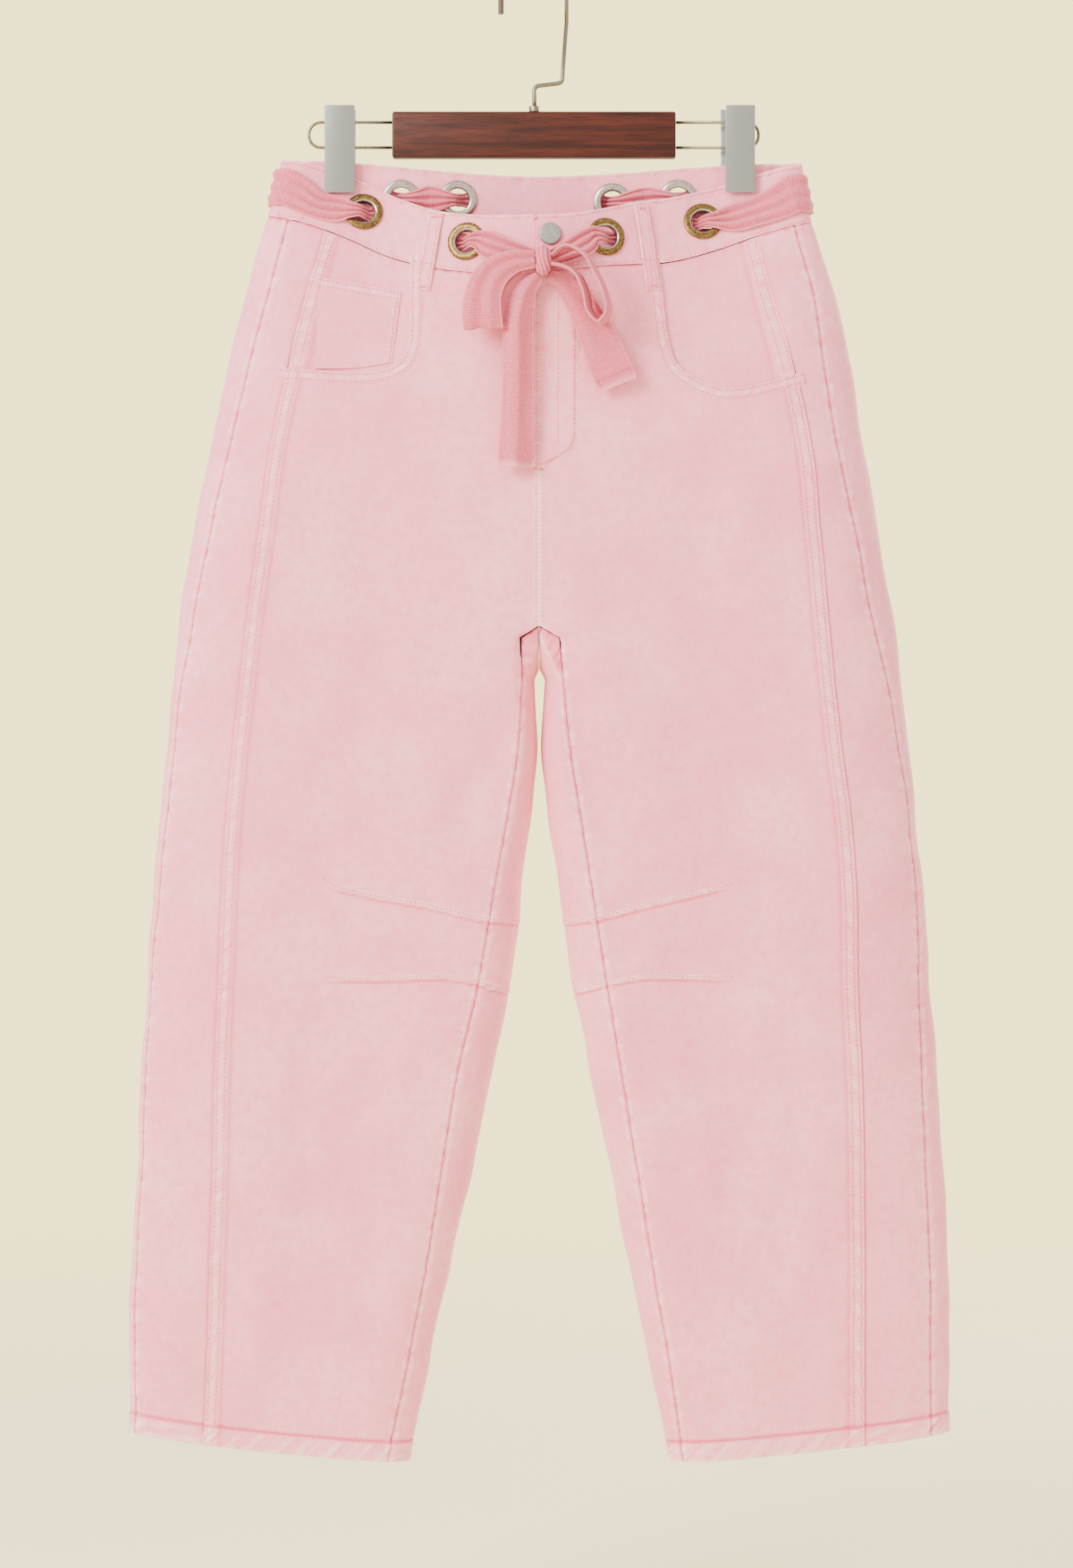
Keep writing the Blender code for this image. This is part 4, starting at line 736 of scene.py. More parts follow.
def scoop_edge(side, spans=3):
    """The scoop's edge as a smooth line of signed x and height."""
    rows = SCOOPS[side]
    steps = np.linspace(0, len(rows) - 1, spans * (len(rows) - 1) + 1)
    knots = range(len(rows))
    x = curve_through(knots, [row[0] for row in rows], steps)
    drop = curve_through(knots, [row[1] for row in rows], steps)
    sign = SIGN[side]
    return [(sign * a, -b) for a, b in zip(x, drop)]


def band_across(side, level):
    """Distances from the centre line to the side fold, closer together at the fold."""
    outer = section_value(side, "outer", level)
    rounding = depth_value("outer_round", level)
    turn = np.sin(np.linspace(0, np.pi / 2, TURN_COLUMNS + 1))
    flat = np.linspace(0, outer - rounding, BAND_COLUMNS + 1)[:-1]
    return np.concatenate([flat, outer - rounding + rounding * turn])


# %% The way of the belt
def on_band(face, x, drop, offset, width):
    """A row of the belt, at an offset from the band's outer face."""
    point = points_on(face, x, drop)
    down = points_on(face, x, drop + 4) - points_on(face, x, drop - 4)
    middle = point + normals_on(face, x, drop) * offset
    return (*middle, width, *down, 0)


def side_turn(side, drop, offset, width):
    """Rows of the belt round the side fold, from front to back."""
    sign = SIGN[side]
    level = float(level_of(side, "front", 198.0, drop))
    reach = section_value(side, "outer", level)
    rounding = depth_value("outer_round", level)
    depth = depth_value("front_side", level)
    rows = []
    for angle in np.radians((-60, -35, 0, 35, 60)):
        away = np.array([np.cos(angle) * depth, np.sin(angle) * rounding])
        away /= np.linalg.norm(away)
        x = reach - rounding + rounding * np.cos(angle) + away[0] * offset
        y = depth * np.sin(angle) + away[1] * offset
        rows.append((sign * x, y, -drop, width, 0.22 * sign * away[0], 0.15 * away[1], -1.0, 0))
    return rows


def eyelet_crossing(name, toward, inward):
    """Rows of the belt through an eyelet, moving along X towards +1 or -1, inward or outward."""
    face, x, drop = EYELETS[name]
    rows = []
    for step, height, width in ((-9.0, 5.3, 13.0), (-3.4, 4.1, 9.0), (0.0, 0.0, 9.0), (3.4, -4.1, 9.0),
                                (9.0, -5.3, 12.0)):
        share = height if inward else -height
        rows.append(on_band(face, x + toward * step, drop, share - BAND_CLOTH / 2, width))
    return rows


def belt_rows(side):
    """Rows of the belt from the knot, in and out through four eyelets, to the centre back."""
    sign = SIGN[side]
    rows = []
    for kind, *values in BELT_ROUTES[side]:
        if kind == "eyelet":
            name, inward = values
            toward = sign if name.startswith("front") else -sign
            rows += eyelet_crossing(name, toward, inward)
        elif kind == "turn":
            rows += side_turn(side, *values)
        else:
            x, drop, offset, width = values
            rows.append(on_band(kind, sign * x, drop, offset, width))
    return rows

# %% [markdown]
# ## Cloth with seams that pucker
#
# Each panel starts as a flat primitive grid, as cloth lies on the cutting table, and its points are
# then moved in code to where the drafted piece hangs. Rows and columns crowd at the seams and the
# knee darts, so that the raised seams, the pulled stitches and their puckers are real form. A vertex
# attribute of pale wear and painted shade goes with the form: above 0 where the cloth stands proud
# and stayed pale in the dye bath, below 0 in the hollows, where the colour is painted darker as
# shade. On the tape and the knot it also paints light on the crests of the pleats and the wraps.

# %% From grid to cloth
def cloth_grid(name, points, flat, outward, wear_and_shade, used=None):
    """A primitive grid whose points are moved to a drafted place. flat gives the UV map, in metres."""
    rows, columns = points.shape[:2]
    middle = (rows // 2, columns // 2)
    across = points[middle[0], middle[1] + 1] - points[middle]
    down = points[middle[0] + 1, middle[1]] - points[middle]
    if np.cross(down, across) @ outward[middle] < 0:
        points, flat, wear_and_shade = points[:, ::-1], flat[:, ::-1], wear_and_shade[:, ::-1]
        used = None if used is None else used[:, ::-1]
    deselect()
    bpy.ops.mesh.primitive_grid_add(x_subdivisions=columns - 1, y_subdivisions=rows - 1, size=1)
    piece = bpy.context.object
    piece.name = piece.data.name = name
    mesh = piece.data
    co = np.empty(len(mesh.vertices) * 3)
    mesh.vertices.foreach_get("co", co)
    co = co.reshape(-1, 3)
    column = np.rint((co[:, 0] + 0.5) * (columns - 1)).astype(int)
    row = np.rint((0.5 - co[:, 1]) * (rows - 1)).astype(int)
    mesh.vertices.foreach_set("co", (points[row, column] * MM).ravel())
    layer = mesh.attributes.new("wear_and_shade", "FLOAT", "POINT")
    layer.data.foreach_set("value", wear_and_shade[row, column].astype(np.float32))
    corners = np.empty(len(mesh.loops), int)
    mesh.loops.foreach_get("vertex_index", corners)
    mesh.uv_layers[0].data.foreach_set("uv", (flat[row, column] * MM)[corners].ravel())
    if used is not None:
        first = np.array([polygon.vertices[:] for polygon in mesh.polygons])
        keep = used[row[first].min(axis=1), column[first].min(axis=1)]
        activate(piece)
        bpy.ops.object.mode_set(mode="EDIT")
        bpy.ops.mesh.select_all(action="DESELECT")
        bpy.ops.object.mode_set(mode="OBJECT")
        mesh.polygons.foreach_set("select", ~keep)
        bpy.ops.object.mode_set(mode="EDIT")
        bpy.ops.mesh.delete(type="FACE")
        bpy.ops.object.mode_set(mode="OBJECT")
    mesh.update()
    return piece


def thicken(piece, thickness, offset=-1):
    """Gives the cloth its wall in mm: inwards from the face that shows, or with 0 on both sides."""
    wall = piece.modifiers.new("wall", "SOLIDIFY")
    wall.thickness = thickness * MM
    wall.offset = offset
    apply_modifiers(piece)
    smooth(piece)


def flat_size(points):
    """Width and length that the laid-out grid is cut from, and its area, in metres."""
    across = np.linalg.norm(np.diff(points, axis=1), axis=2)
    down = np.linalg.norm(np.diff(points, axis=0), axis=2)
    width = across.sum(axis=1)
    length = down.sum(axis=0).max()
    cells = (across[1:] + across[:-1]) / 2 * (down[:, 1:] + down[:, :-1]) / 2
    return (float(width.max() * MM), float(length * MM)), float(cells.sum() * MM * MM)


# %% Puckers and seams
def wobble(t, seed):
    """A smooth uneven line between about -1 and 1, for puckers that never quite repeat."""
    total = 0.0
    for k, length in enumerate((6.3, 9.1, 14.7, 23.0)):
        drift = 1.7 * np.sin(t / (31 + 7 * k) + seed)
        total = total + np.sin(2 * np.pi * (t / length + 0.37 * seed * (k + 1)) + drift)
    return np.clip(total / 2.6, -1, 1)


def bump(distance, half_width):
    return np.exp(-(distance / half_width) ** 2)


def plain_seam(distance, along, seed):
    """A seam turned inwards: a thin hollow with short puckers beside it. Height in mm, and pale wear and
    painted shade.
    """
    pucker = wobble(along + 0.5 * distance, seed) * bump(distance, 6.5)
    height = -0.6 * bump(distance, 1.2) + 0.42 * pucker
    # Painted shade: darker in the seam's hollow and in the pucker troughs. Pale on the pucker crests and just
    # beside the hollow, as real wear.
    wear_and_shade = -0.62 * bump(distance, 1.3) + 0.42 * pucker + 0.4 * bump(distance - 2.6, 1.6)
    return height, wear_and_shade


FELL_WIDTH = 10.0
FELL_ROWS = (2.0, 8.2)  # the two rows of topstitching, from the seam's edge


def felled_seam(distance, along, seed):
    """A raised seam, folded and sewn down with two rows."""
    ridge = 1 - smoothstep((distance - FELL_WIDTH + 1.2) / 2.6)
    pulled = bump(distance - FELL_ROWS[0], 1.0) + bump(distance - FELL_ROWS[1], 1.0)
    pucker = wobble(along + 0.7 * distance, seed)
    height = 0.75 * ridge - 0.28 * pulled + 0.34 * pucker * bump(distance - 5.5, 5.5)
    # Pale along the ridge, as real wear. Painted shade: darker along both pulled rows, beside the ridge's
    # step and at the seam's edge.
    wear_and_shade = ridge * (0.34 + 0.3 * pucker) - 0.35 * pulled - 0.55 * bump(distance - 12.2, 1.8)
    return height, wear_and_shade - 0.3 * bump(distance, 0.7)


def turned_edge(distance, rounding=1.3):
    """How far the cloth's face falls away where its edge is turned under."""
    return -rounding * (1 - quarter_round(distance / rounding))


# %% Knee darts
# Each dart runs from the inner fold across the knee to a tip, as points of signed x and drop.
DARTS = (
    ((-16, 728.5), (-43, 725.5), (-85.7, 715.4), (-123.8, 708.6), (-154.5, 701.5), (-167, 692)),
    ((-23, 781.5), (-49, 772.5), (-72.1, 769.0), (-112.9, 770.5), (-158.4, 770.5), (-168, 773.5)),
    ((18, 729.0), (45.6, 725.0), (79.6, 716.0), (151.0, 699.0)),
    ((27, 781.5), (51.7, 773.8), (79.6, 769.0), (153.0, 770.5)),
)


def from_line(x, drop, line):
    """Distance above a line of points, and how far along it each point lies."""
    best = np.full(x.shape, 1e9)
    signed = np.zeros(x.shape)
    along = np.zeros(x.shape)
    travelled = 0.0
    for (x0, d0), (x1, d1) in zip(line, line[1:]):
        run, fall = x1 - x0, d1 - d0
        length = math.hypot(run, fall)
        share = np.clip(((x - x0) * run + (drop - d0) * fall) / length**2, 0, 1)
        away = np.hypot(x - x0 - run * share, drop - d0 - fall * share)
        side = np.sign((x - x0) * fall - (drop - d0) * run) * np.sign(run)
        nearer = away < best
        best = np.where(nearer, away, best)
        signed = np.where(nearer, away * side, signed)
        along = np.where(nearer, travelled + length * share, along)
        travelled += length
    return signed, along, travelled


def darts(x, drop, in_front):
    height = np.zeros(x.shape)
    wear_and_shade = np.zeros(x.shape)
    for k, line in enumerate(DARTS):
        above, along, length = from_line(x, drop, line)
        tip = in_front * smoothstep((length - along) / 26)
        pucker = wobble(along, 3 + k)
        height += tip * (0.75 * bump(above - 2.2, 1.9) - 0.7 * bump(above + 0.4, 1.1))
        height += tip * 0.4 * pucker * bump(above - 1, 5.5)
        # Pale along the dart's fold, as real wear; painted shade in the hollow just under it.
        wear_and_shade += tip * ((0.75 + 0.3 * pucker) * bump(above - 2.3, 1.8) - 0.95 * bump(above + 0.4, 1.3))
    return height, wear_and_shade


# %% Soft creases
# Troughs and ridges that hang in the cloth: both ends as x and drop, half width, height, and bow.
FRONT_CREASES = {
    "right": (
        (8, 508, 70, 470, 7, 1.1, 4), (10, 522, 88, 506, 8, -1.2, 6), (14, 545, 78, 552, 8, 1.0, -4),
        (24, 580, 60, 660, 10, -1.0, 6), (46, 300, 60, 440, 10, 0.8, 5), (120, 350, 105, 470, 13, 0.9, -8),
        (160, 380, 178, 520, 13, -0.9, 6), (60, 690, 150, 676, 8, 0.9, 5), (70, 742, 168, 738, 9, 1.3, 4),
        (180, 700, 222, 760, 9, -0.8, 5), (95, 800, 110, 960, 11, 1.0, 8),
        (175, 800, 190, 1000, 13, -1.1, -9), (215, 560, 226, 690, 9, 0.8, 5),
        (140, 1000, 150, 1090, 10, 0.9, 5), (210, 1020, 222, 1094, 9, 0.8, -4),
    ),
    "left": (
        (7, 508, 66, 478, 7, 1.2, 4), (10, 524, 96, 498, 9, -1.3, 5), (16, 548, 84, 540, 8, 1.1, 5),
        (26, 590, 52, 690, 9, -1.1, 7), (52, 310, 70, 430, 11, 0.8, -5), (110, 360, 128, 480, 13, -0.9, 7),
        (170, 370, 160, 500, 12, 0.9, -6), (66, 684, 140, 668, 8, 0.8, 4), (76, 744, 160, 736, 9, 1.2, 4),
        (186, 690, 228, 770, 9, -0.9, 6), (104, 810, 128, 980, 12, 1.1, 9),
        (190, 820, 178, 1010, 13, -1.0, 8), (206, 540, 224, 680, 9, 0.8, 5),
        (160, 1010, 152, 1092, 10, 0.9, 4), (216, 1000, 226, 1090, 9, 0.8, 4),
    ),
}
BACK_CREASES = {
    "right": (
        (8, 500, 92, 452, 9, 1.2, 6), (10, 520, 100, 496, 9, -1.2, 6), (20, 560, 90, 560, 9, 1.0, -5),
        (60, 300, 84, 430, 12, 0.9, 6), (150, 330, 140, 480, 13, -0.9, 7), (80, 690, 180, 676, 10, 1.2, 6),
        (90, 730, 190, 742, 10, -1.1, 5), (120, 800, 140, 980, 12, 1.0, 8), (215, 760, 230, 960, 12, 0.9, -8),
        (170, 980, 160, 1090, 11, -0.9, 5),
    ),
    "left": (
        (8, 500, 86, 460, 9, 1.1, 6), (10, 522, 104, 502, 9, -1.2, 6), (20, 566, 84, 574, 9, 1.0, 5),
        (66, 310, 58, 440, 12, 0.9, -6), (146, 340, 160, 470, 13, -0.9, 7), (84, 696, 170, 684, 10, 1.1, 6),
        (96, 736, 196, 726, 10, -1.2, 5), (130, 790, 118, 970, 12, 1.0, 8), (220, 740, 232, 940, 12, 0.8, 8),
        (150, 990, 166, 1092, 11, -0.9, 5),
    ),
}
RIPPLES = (
    (0.31, 0.95, 61, 0.30, 0.4), (0.94, 0.33, 47, 0.26, 2.1), (-0.52, 0.85, 83, 0.36, 4.4),
    (0.98, -0.20, 34, 0.16, 1.3), (-0.80, 0.60, 29, 0.12, 5.2),
)


def creases(side, x, drop, in_front):
    """Height of the soft creases, and of a slight unevenness all over."""
    total = np.zeros(x.shape)
    for table, share in ((FRONT_CREASES, in_front), (BACK_CREASES, 1 - in_front)):
        for x0, d0, x1, d1, half_width, height, bow in table[side]:
            run, fall = x1 - x0, d1 - d0
            length = math.hypot(run, fall)
            along = ((np.abs(x) - x0) * run + (drop - d0) * fall) / length**2
            bent = bow * 4 * along * (1 - along)
            off = ((np.abs(x) - x0) * fall - (drop - d0) * run) / length - bent
            ends = smoothstep((along + 0.15) / 0.4) * smoothstep((1.15 - along) / 0.4)
            total = total + share * height * ends * bump(off, half_width)
    for a, b, length, height, phase in RIPPLES:
        total = total + height * np.sin(2 * np.pi * (a * x + b * drop) / length + phase)
    return total


# %% [markdown]
# ## The leg panels
#
# On the real trousers each leg is a front, a narrow side and a back that wraps round both folds, so
# that no seam lies on the outer fold and the leg can curve like a barrel. The front is felled over
# the side with two rows of topstitching. The rear seam and the inseam are plain. A draft by levels
# gives all three from one outline, so their edges meet all the way down.

# %% Rows and columns of the panels
NEAR_SEAM = np.array([0, 0.6, 1.3, 2.1, 3.0, 4.2, 5.6, 7.2])
NEAR_FELL = np.array([0, 0.35, 0.9, 1.5, 2.1, 2.9, 4.1, 5.5, 6.8, 7.7, 8.5, 9.4, 10.5, 12, 14])
ROW_STEP = 3.2
DART_STEP = 1.7
HEM_STEP = 1.6


def spaced(start, end, step):
    return list(np.linspace(start, end, max(1, round((end - start) / step)) + 1)[:-1])


TORSO_LEVELS = spaced(BAND_SEAM, BAND_SEAM + 6, 1.2) + spaced(BAND_SEAM + 6, CROTCH, ROW_STEP) + [CROTCH]
LEG_LEVELS = (
    spaced(CROTCH_CORNER, 690, ROW_STEP) + spaced(690, 790, DART_STEP) + spaced(790, HEM_STITCH - 8, ROW_STEP)
    + spaced(HEM_STITCH - 8, HEM_EDGE - 2.4, HEM_STEP) + spaced(HEM_EDGE - 2.4, HEM_EDGE, 0.6) + [HEM_EDGE]
)
FORK_END = 543.0  # down to here the fork of the back panel spreads from the seam under the crotch
FORK_PULL = 0.4


def columns_at(points, start, end, first, last, middle):
    """Points of the outline between two lengths, close together at the seams and where it turns."""
    length = running_length(points)
    weight = running_weight(points)
    ends = np.interp([start + first[-1], end - last[-1]], length, weight)
    at = np.interp(np.linspace(*ends, middle + 1), weight, length)
    at = np.concatenate([start + first[:-1], at, (end - last[:-1])[::-1]])
    place = np.stack([np.interp(at, length, points[:, k]) for k in range(3)], axis=1)
    return np.column_stack([place, at - start, end - at])


def panel_row(side, level):
    """One level of the three panels. Each point also has its distance from both ends."""
    points, front_count = section_loop(side, level)
    length = running_length(points)
    on_front = points[:front_count, 0]
    seams = [np.interp(section_value(side, name, level), on_front, length[:front_count])
             for name in ("front_seam", "rear_seam")]
    is_leg = level > CROTCH + 1
    row = {
        "front": columns_at(points, HALF_GAP, seams[0] - HALF_GAP, NEAR_SEAM, NEAR_FELL, 40),
        "side": columns_at(points, seams[0] + HALF_GAP, seams[1] - HALF_GAP, NEAR_SEAM[:6], NEAR_SEAM[:6], 5),
    }
    if not is_leg:
        row["back"] = columns_at(points, seams[1] + HALF_GAP, length[-1] - HALF_GAP, NEAR_SEAM, NEAR_SEAM, 52)
        return row
    inner = float(section_value(side, "inner", level))
    corner_x = inner + min(9.0, 0.12 * (level - CROTCH) + 0.4)
    behind = slice(front_count, front_count + int(np.argmin(points[front_count:, 0])) + 1)
    corner = np.interp(-corner_x, -points[behind, 0], length[behind])
    end = length[-1] - HALF_GAP
    back = columns_at(points, seams[1] + HALF_GAP, corner, NEAR_SEAM, np.linspace(0, 4, 8), 52)
    back[:, 4] += end - corner
    row["back"] = back
    row["fork"] = columns_at(points, corner, end, np.zeros(1), NEAR_SEAM[:7], 7)
    return row


def blended(first, second, share):
    return {part: first[part] + (second[part] - first[part]) * share for part in second if part in first}


def panel_grids(side):
    """The front, side and back grids, each with its levels, and the cells of the back that are used."""
    rows = [panel_row(side, level) for level in TORSO_LEVELS]
    legs = [panel_row(side, level) for level in LEG_LEVELS]
    between = np.linspace(0, 1, 5)[1:-1]
    rows += [blended(rows[-1], legs[0], share) for share in between]
    levels = TORSO_LEVELS + [CROTCH + (CROTCH_CORNER - CROTCH) * share for share in between] + LEG_LEVELS
    crotch = len(TORSO_LEVELS) - 1
    rows += legs
    grids = {part: np.array([row[part] for row in rows]) for part in ("front", "side")}
    back = np.array([row["back"] for row in rows])
    fork = np.zeros((len(rows), legs[0]["fork"].shape[0], 5))
    spread_row = panel_row(side, FORK_END)["fork"]
    t = spread_row[:, 3] / spread_row[-1, 3]
    seam = spread_row.copy()
    seam[:, :3] = rise_seam(back[crotch, -1, :3], t)
    pulled = seam + FORK_PULL * (spread_row - seam)
    pulled[-1] = legs[0]["fork"][-1]
    for i in range(crotch, len(rows)):
        level = levels[i]
        if level <= CROTCH_CORNER:
            share = (level - CROTCH) / (CROTCH_CORNER - CROTCH)
            fork[i] = seam + (pulled - seam) * share
        elif level < FORK_END:
            share = (level - CROTCH_CORNER) / (FORK_END - CROTCH_CORNER)
            fork[i] = pulled + (spread_row - pulled) * share
            fork[i, -1] = rows[i]["fork"][-1]
        else:
            fork[i] = rows[i]["fork"]
    fork[crotch:, 0] = back[crotch:, -1]
    grids["back"] = np.concatenate([back, fork[:, 1:]], axis=1)
    used = np.ones((len(rows) - 1, grids["back"].shape[1] - 1), bool)
    used[:crotch, back.shape[1] - 1:] = False
    return grids, np.array(levels), used, crotch, back.shape[1]


# %% [markdown]
# The heights of the seams, darts, hem and creases are added to each grid along its own normals. The
# hem is turned up twice and stitched once, and it ropes a little: its puckers lean one way.

# %% Panels with their sewn form
def hem(levels, x):
    """Height of the turned-up hem, and its pale wear and painted shade, for each row and column."""
    below = levels[:, None] - HEM_STITCH
    step = smoothstep((below + 0.4) / 2.6)
    rope = wobble(1.15 * x + 1.1 * below, 5) * smoothstep(below / 4)
    height = HEM_LIFT * step + 0.42 * rope - 0.45 * bump(below, 1.2)
    height = height + turned_edge(HEM_EDGE - levels[:, None], 1.8)
    # Pale on the turned-up hem, its rope crests and its bottom edge, as real wear; painted shade along the
    # stitched step above it and in the rope's troughs.
    wear_and_shade = step * (0.25 + 0.45 * rope) - 1.0 * bump(below - 0.3, 1.5)
    return height, wear_and_shade + 0.5 * bump(HEM_EDGE - levels[:, None], 2.2)


CENTRE_SEAM = 3.0  # how wide the centre front seam stands proud, on each side


def sewn(side, part, grid, levels, normals, crotch, back_count):
    """Height over the drafted face, and pale wear and painted shade, for every point of a panel."""
    x, drop = grid[..., 0], -grid[..., 2]
    from_start, from_end = grid[..., 3], grid[..., 4]
    level = np.broadcast_to(levels[:, None], x.shape)
    in_front = smoothstep(0.5 - normals[..., 1])
    signed = -x if side == "right" else x
    seed = {"front": 1, "side": 2, "back": 4}[part] + (0.5 if side == "right" else 0)
    height, wear_and_shade = darts(signed, drop, in_front)
    height = height + creases(side, signed, drop, in_front)
    leg = smoothstep((level - CROTCH) / 8)
    waist = bump(level - BAND_SEAM, 2.0)
    near_waist = wobble(signed, 7 + seed) * bump(level - BAND_SEAM, 8)
    height = height - 0.9 * waist + 0.3 * near_waist
    # Painted shade: darker along the waist seam, under the band's edge.
    wear_and_shade = wear_and_shade - 0.9 * waist + 0.3 * near_waist
    inner_height, inner_wear_and_shade = plain_seam(from_start if part == "front" else from_end, drop, seed + 2)
    if part == "front":
        ridge = 1 - smoothstep((from_start - CENTRE_SEAM) / 1.6)
        pucker = wobble(drop, seed) * bump(from_start, 5)
        centre_height = 0.4 * ridge + 0.2 * pucker
        height = height + leg * inner_height + (1 - leg) * centre_height
        wear_and_shade = wear_and_shade + leg * inner_wear_and_shade + (1 - leg) * (0.45 * ridge + 0.3 * pucker)
        outer_height, outer_wear_and_shade = felled_seam(from_end, drop, seed)
    elif part == "side":
        height = height - 0.4 * bump(from_start, 1.5)
        wear_and_shade = wear_and_shade - 0.5 * bump(from_start, 1.8)
        outer_height, outer_wear_and_shade = plain_seam(from_end, drop, seed + 6)
    else:
        height = height + inner_height
        wear_and_shade = wear_and_shade + inner_wear_and_shade
        outer_height, outer_wear_and_shade = plain_seam(from_start, drop, seed + 4)
        under = np.linalg.norm(grid[..., :3] - grid[crotch, :, :3], axis=2)
        in_fork = (np.arange(x.shape[1]) >= back_count) & (np.arange(x.shape[0])[:, None] >= crotch)
        fork_height, fork_wear_and_shade = plain_seam(under, x * 3, seed + 8)
        height = height + in_fork * fork_height
        wear_and_shade = wear_and_shade + in_fork * fork_wear_and_shade
    height = height + outer_height
    wear_and_shade = wear_and_shade + outer_wear_and_shade
    hem_height, hem_wear_and_shade = hem(levels, signed)
    return height + hem_height, wear_and_shade + hem_wear_and_shade


def mirrored(grid, side):
    return grid * np.array([-1.0, 1.0, 1.0]) if side == "right" else grid


PANELS = {}
FORK_CUT = (0.05, 0.02)  # metres and square metres that the fork adds to the back's cut


def make_panels(side):
    grids, levels, used, crotch, back_count = panel_grids(side)
    normals = {
        part: vertex_normals(grid[..., :3], used if part == "back" else np.ones(
            (grid.shape[0] - 1, grid.shape[1] - 1), bool))
        for part, grid in grids.items()
    }
    for part, grid in grids.items():
        height, wear_and_shade = sewn(side, part, grid, levels, normals[part], crotch, back_count)
        points = grid[..., :3] + normals[part] * height[..., None]
        points[..., 0] = np.maximum(points[..., 0], HALF_GAP)
        outward = mirrored(normals[part], side)
        points = mirrored(points, side) + TO_GARMENT
        down = np.zeros(len(levels))
        middle = grid[:, grid.shape[1] // 3, :3]
        down[1:] = np.cumsum(np.linalg.norm(np.diff(middle, axis=0), axis=1))
        flat = np.stack(np.broadcast_arrays(grid[..., 3], -down[:, None]), axis=-1)
        size, area = flat_size(points[:, :back_count] if part == "back" else points)
        if part == "back":
            size, area = (size[0] + FORK_CUT[0], size[1]), area + FORK_CUT[1]
        cells = used if part == "back" else None
        piece = cloth_grid(f"{part}_panel_{side}", points, flat, outward, wear_and_shade, cells)
        PANELS[part, side] = (piece, size, area)


for half in SIGN:
    make_panels(half)
print("panels", [len(piece.data.polygons) for piece, *_ in PANELS.values()])

# %% [markdown]
# ## Pocket openings, facings and the coin pocket
#
# Each front is cut in a scoop and its edge is turned and sewn down with two rows. The hand pocket's
# facing shows behind it, and on the wearer's right a small coin pocket is sewn to that facing. The
# scoop is a Boolean cut with an extruded outline, and the turned edge is a strip laid on the cut.

# %% Patches that lie on the cloth
def patch(name, x, drop, height, wear_and_shade, thickness, face="front"):
    """A piece laid on the garment, from grids of signed x and drop and its height over the face."""
    normals = normals_on(face, x, drop)
    points = points_on(face, x, drop) + normals * height[..., None] + TO_GARMENT
    across = np.linalg.norm(np.diff(points, axis=1, prepend=points[:, :1]), axis=2)
    down = np.linalg.norm(np.diff(points, axis=0, prepend=points[:1]), axis=2)
    flat = np.stack([np.cumsum(across, axis=1), -np.cumsum(down, axis=0)], axis=-1)
    piece = cloth_grid(name, points, flat, normals, wear_and_shade)
    thicken(piece, thickness)
    return piece, *flat_size(points)


PATCH_CLOTH = 1.2
FACING_UNDER = 9.0  # how far the facing reaches under the front
FACING_DEPTH = -2.1
FACING_WIDTH = 80.0  # across the part that shows
POCKETS = {}


def facing(side):
    sign = SIGN[side]
    bottom = max(drop for _, drop in SCOOPS[side]) + FACING_UNDER
    inner_x = SCOOPS[side][0][0] - FACING_UNDER
    x, drop = np.meshgrid(np.linspace(0, 1, 42), np.linspace(0, 1, 52))
    rough = seam_drop(sign * (inner_x + 60)) * (1 - drop) + bottom * drop
    level = level_of(side, "front", inner_x + FACING_WIDTH * x, rough)
    edge = section_value(side, "front_seam", level) - HALF_GAP
    across = inner_x + (edge - inner_x) * x
    top = np.vectorize(seam_drop)(sign * across) + 0.5
    down = top + (bottom - top) * drop
    height = FACING_DEPTH + 0.35 * wobble(0.4 * across, 3) * bump(down - top, 12)
    height = height + 0.5 * np.sin(across / 17 + 0.6) * np.sin(down / 23) - 0.25
    from_edge = FACING_WIDTH * (1 - x)
    sewn_in = 1 - smoothstep((down - top) / 14)
    height = height + 1.7 * sewn_in + (1 - sewn_in) * 1.3 * (1 - smoothstep((from_edge - 8) / 4))
    fold = wobble(down, 13) * bump(from_edge - 5, 5)
    height = height + 0.25 * fold
    # Painted shade: darker just under the waist seam and in a line beside the turned edge, and offset a
    # little towards shade all over. Pale along the turned edge, as real wear.
    wear_and_shade = -0.3 * bump(down - top, 2.5) - 0.12 + (0.4 + 0.3 * fold) * (1 - smoothstep((from_edge - 8.5) / 2))
    wear_and_shade = wear_and_shade - 0.35 * bump(from_edge - 12, 1.6)
    POCKETS[side] = patch(f"facing_{side}", sign * across, down, height, wear_and_shade, PATCH_CLOTH)


for half in SIGN:
    facing(half)

COIN_HEIGHT = -0.75
COIN_INNER, COIN_OUTER = 104.5, 166.5  # at the top
COIN_TOP, COIN_SLOPE, COIN_LOW = 238.5, 11.0, 309.0
COIN_LEAN = 6.5  # of the inner edge
COIN_ROWS, COIN_SIDE_ROW = (1.6, 6.6), 1.8
u, t = np.meshgrid(np.linspace(0, 1, 34), np.linspace(0, 1, 40))
coin_inner, coin_outer = COIN_INNER + COIN_LEAN * t, COIN_OUTER + 2.5 * t
coin_x = coin_outer + (coin_inner - coin_outer) * u
coin_top = COIN_TOP + COIN_SLOPE * u
coin_drop = coin_top + (COIN_LOW - 5.5 * u**3 - coin_top) * t
from_top, from_side = coin_drop - coin_top, coin_x - coin_inner
coin_rows = bump(from_top - COIN_ROWS[0], 0.9) + bump(from_top - COIN_ROWS[1], 0.9)
coin_rows = coin_rows + bump(from_side - COIN_SIDE_ROW, 0.9)
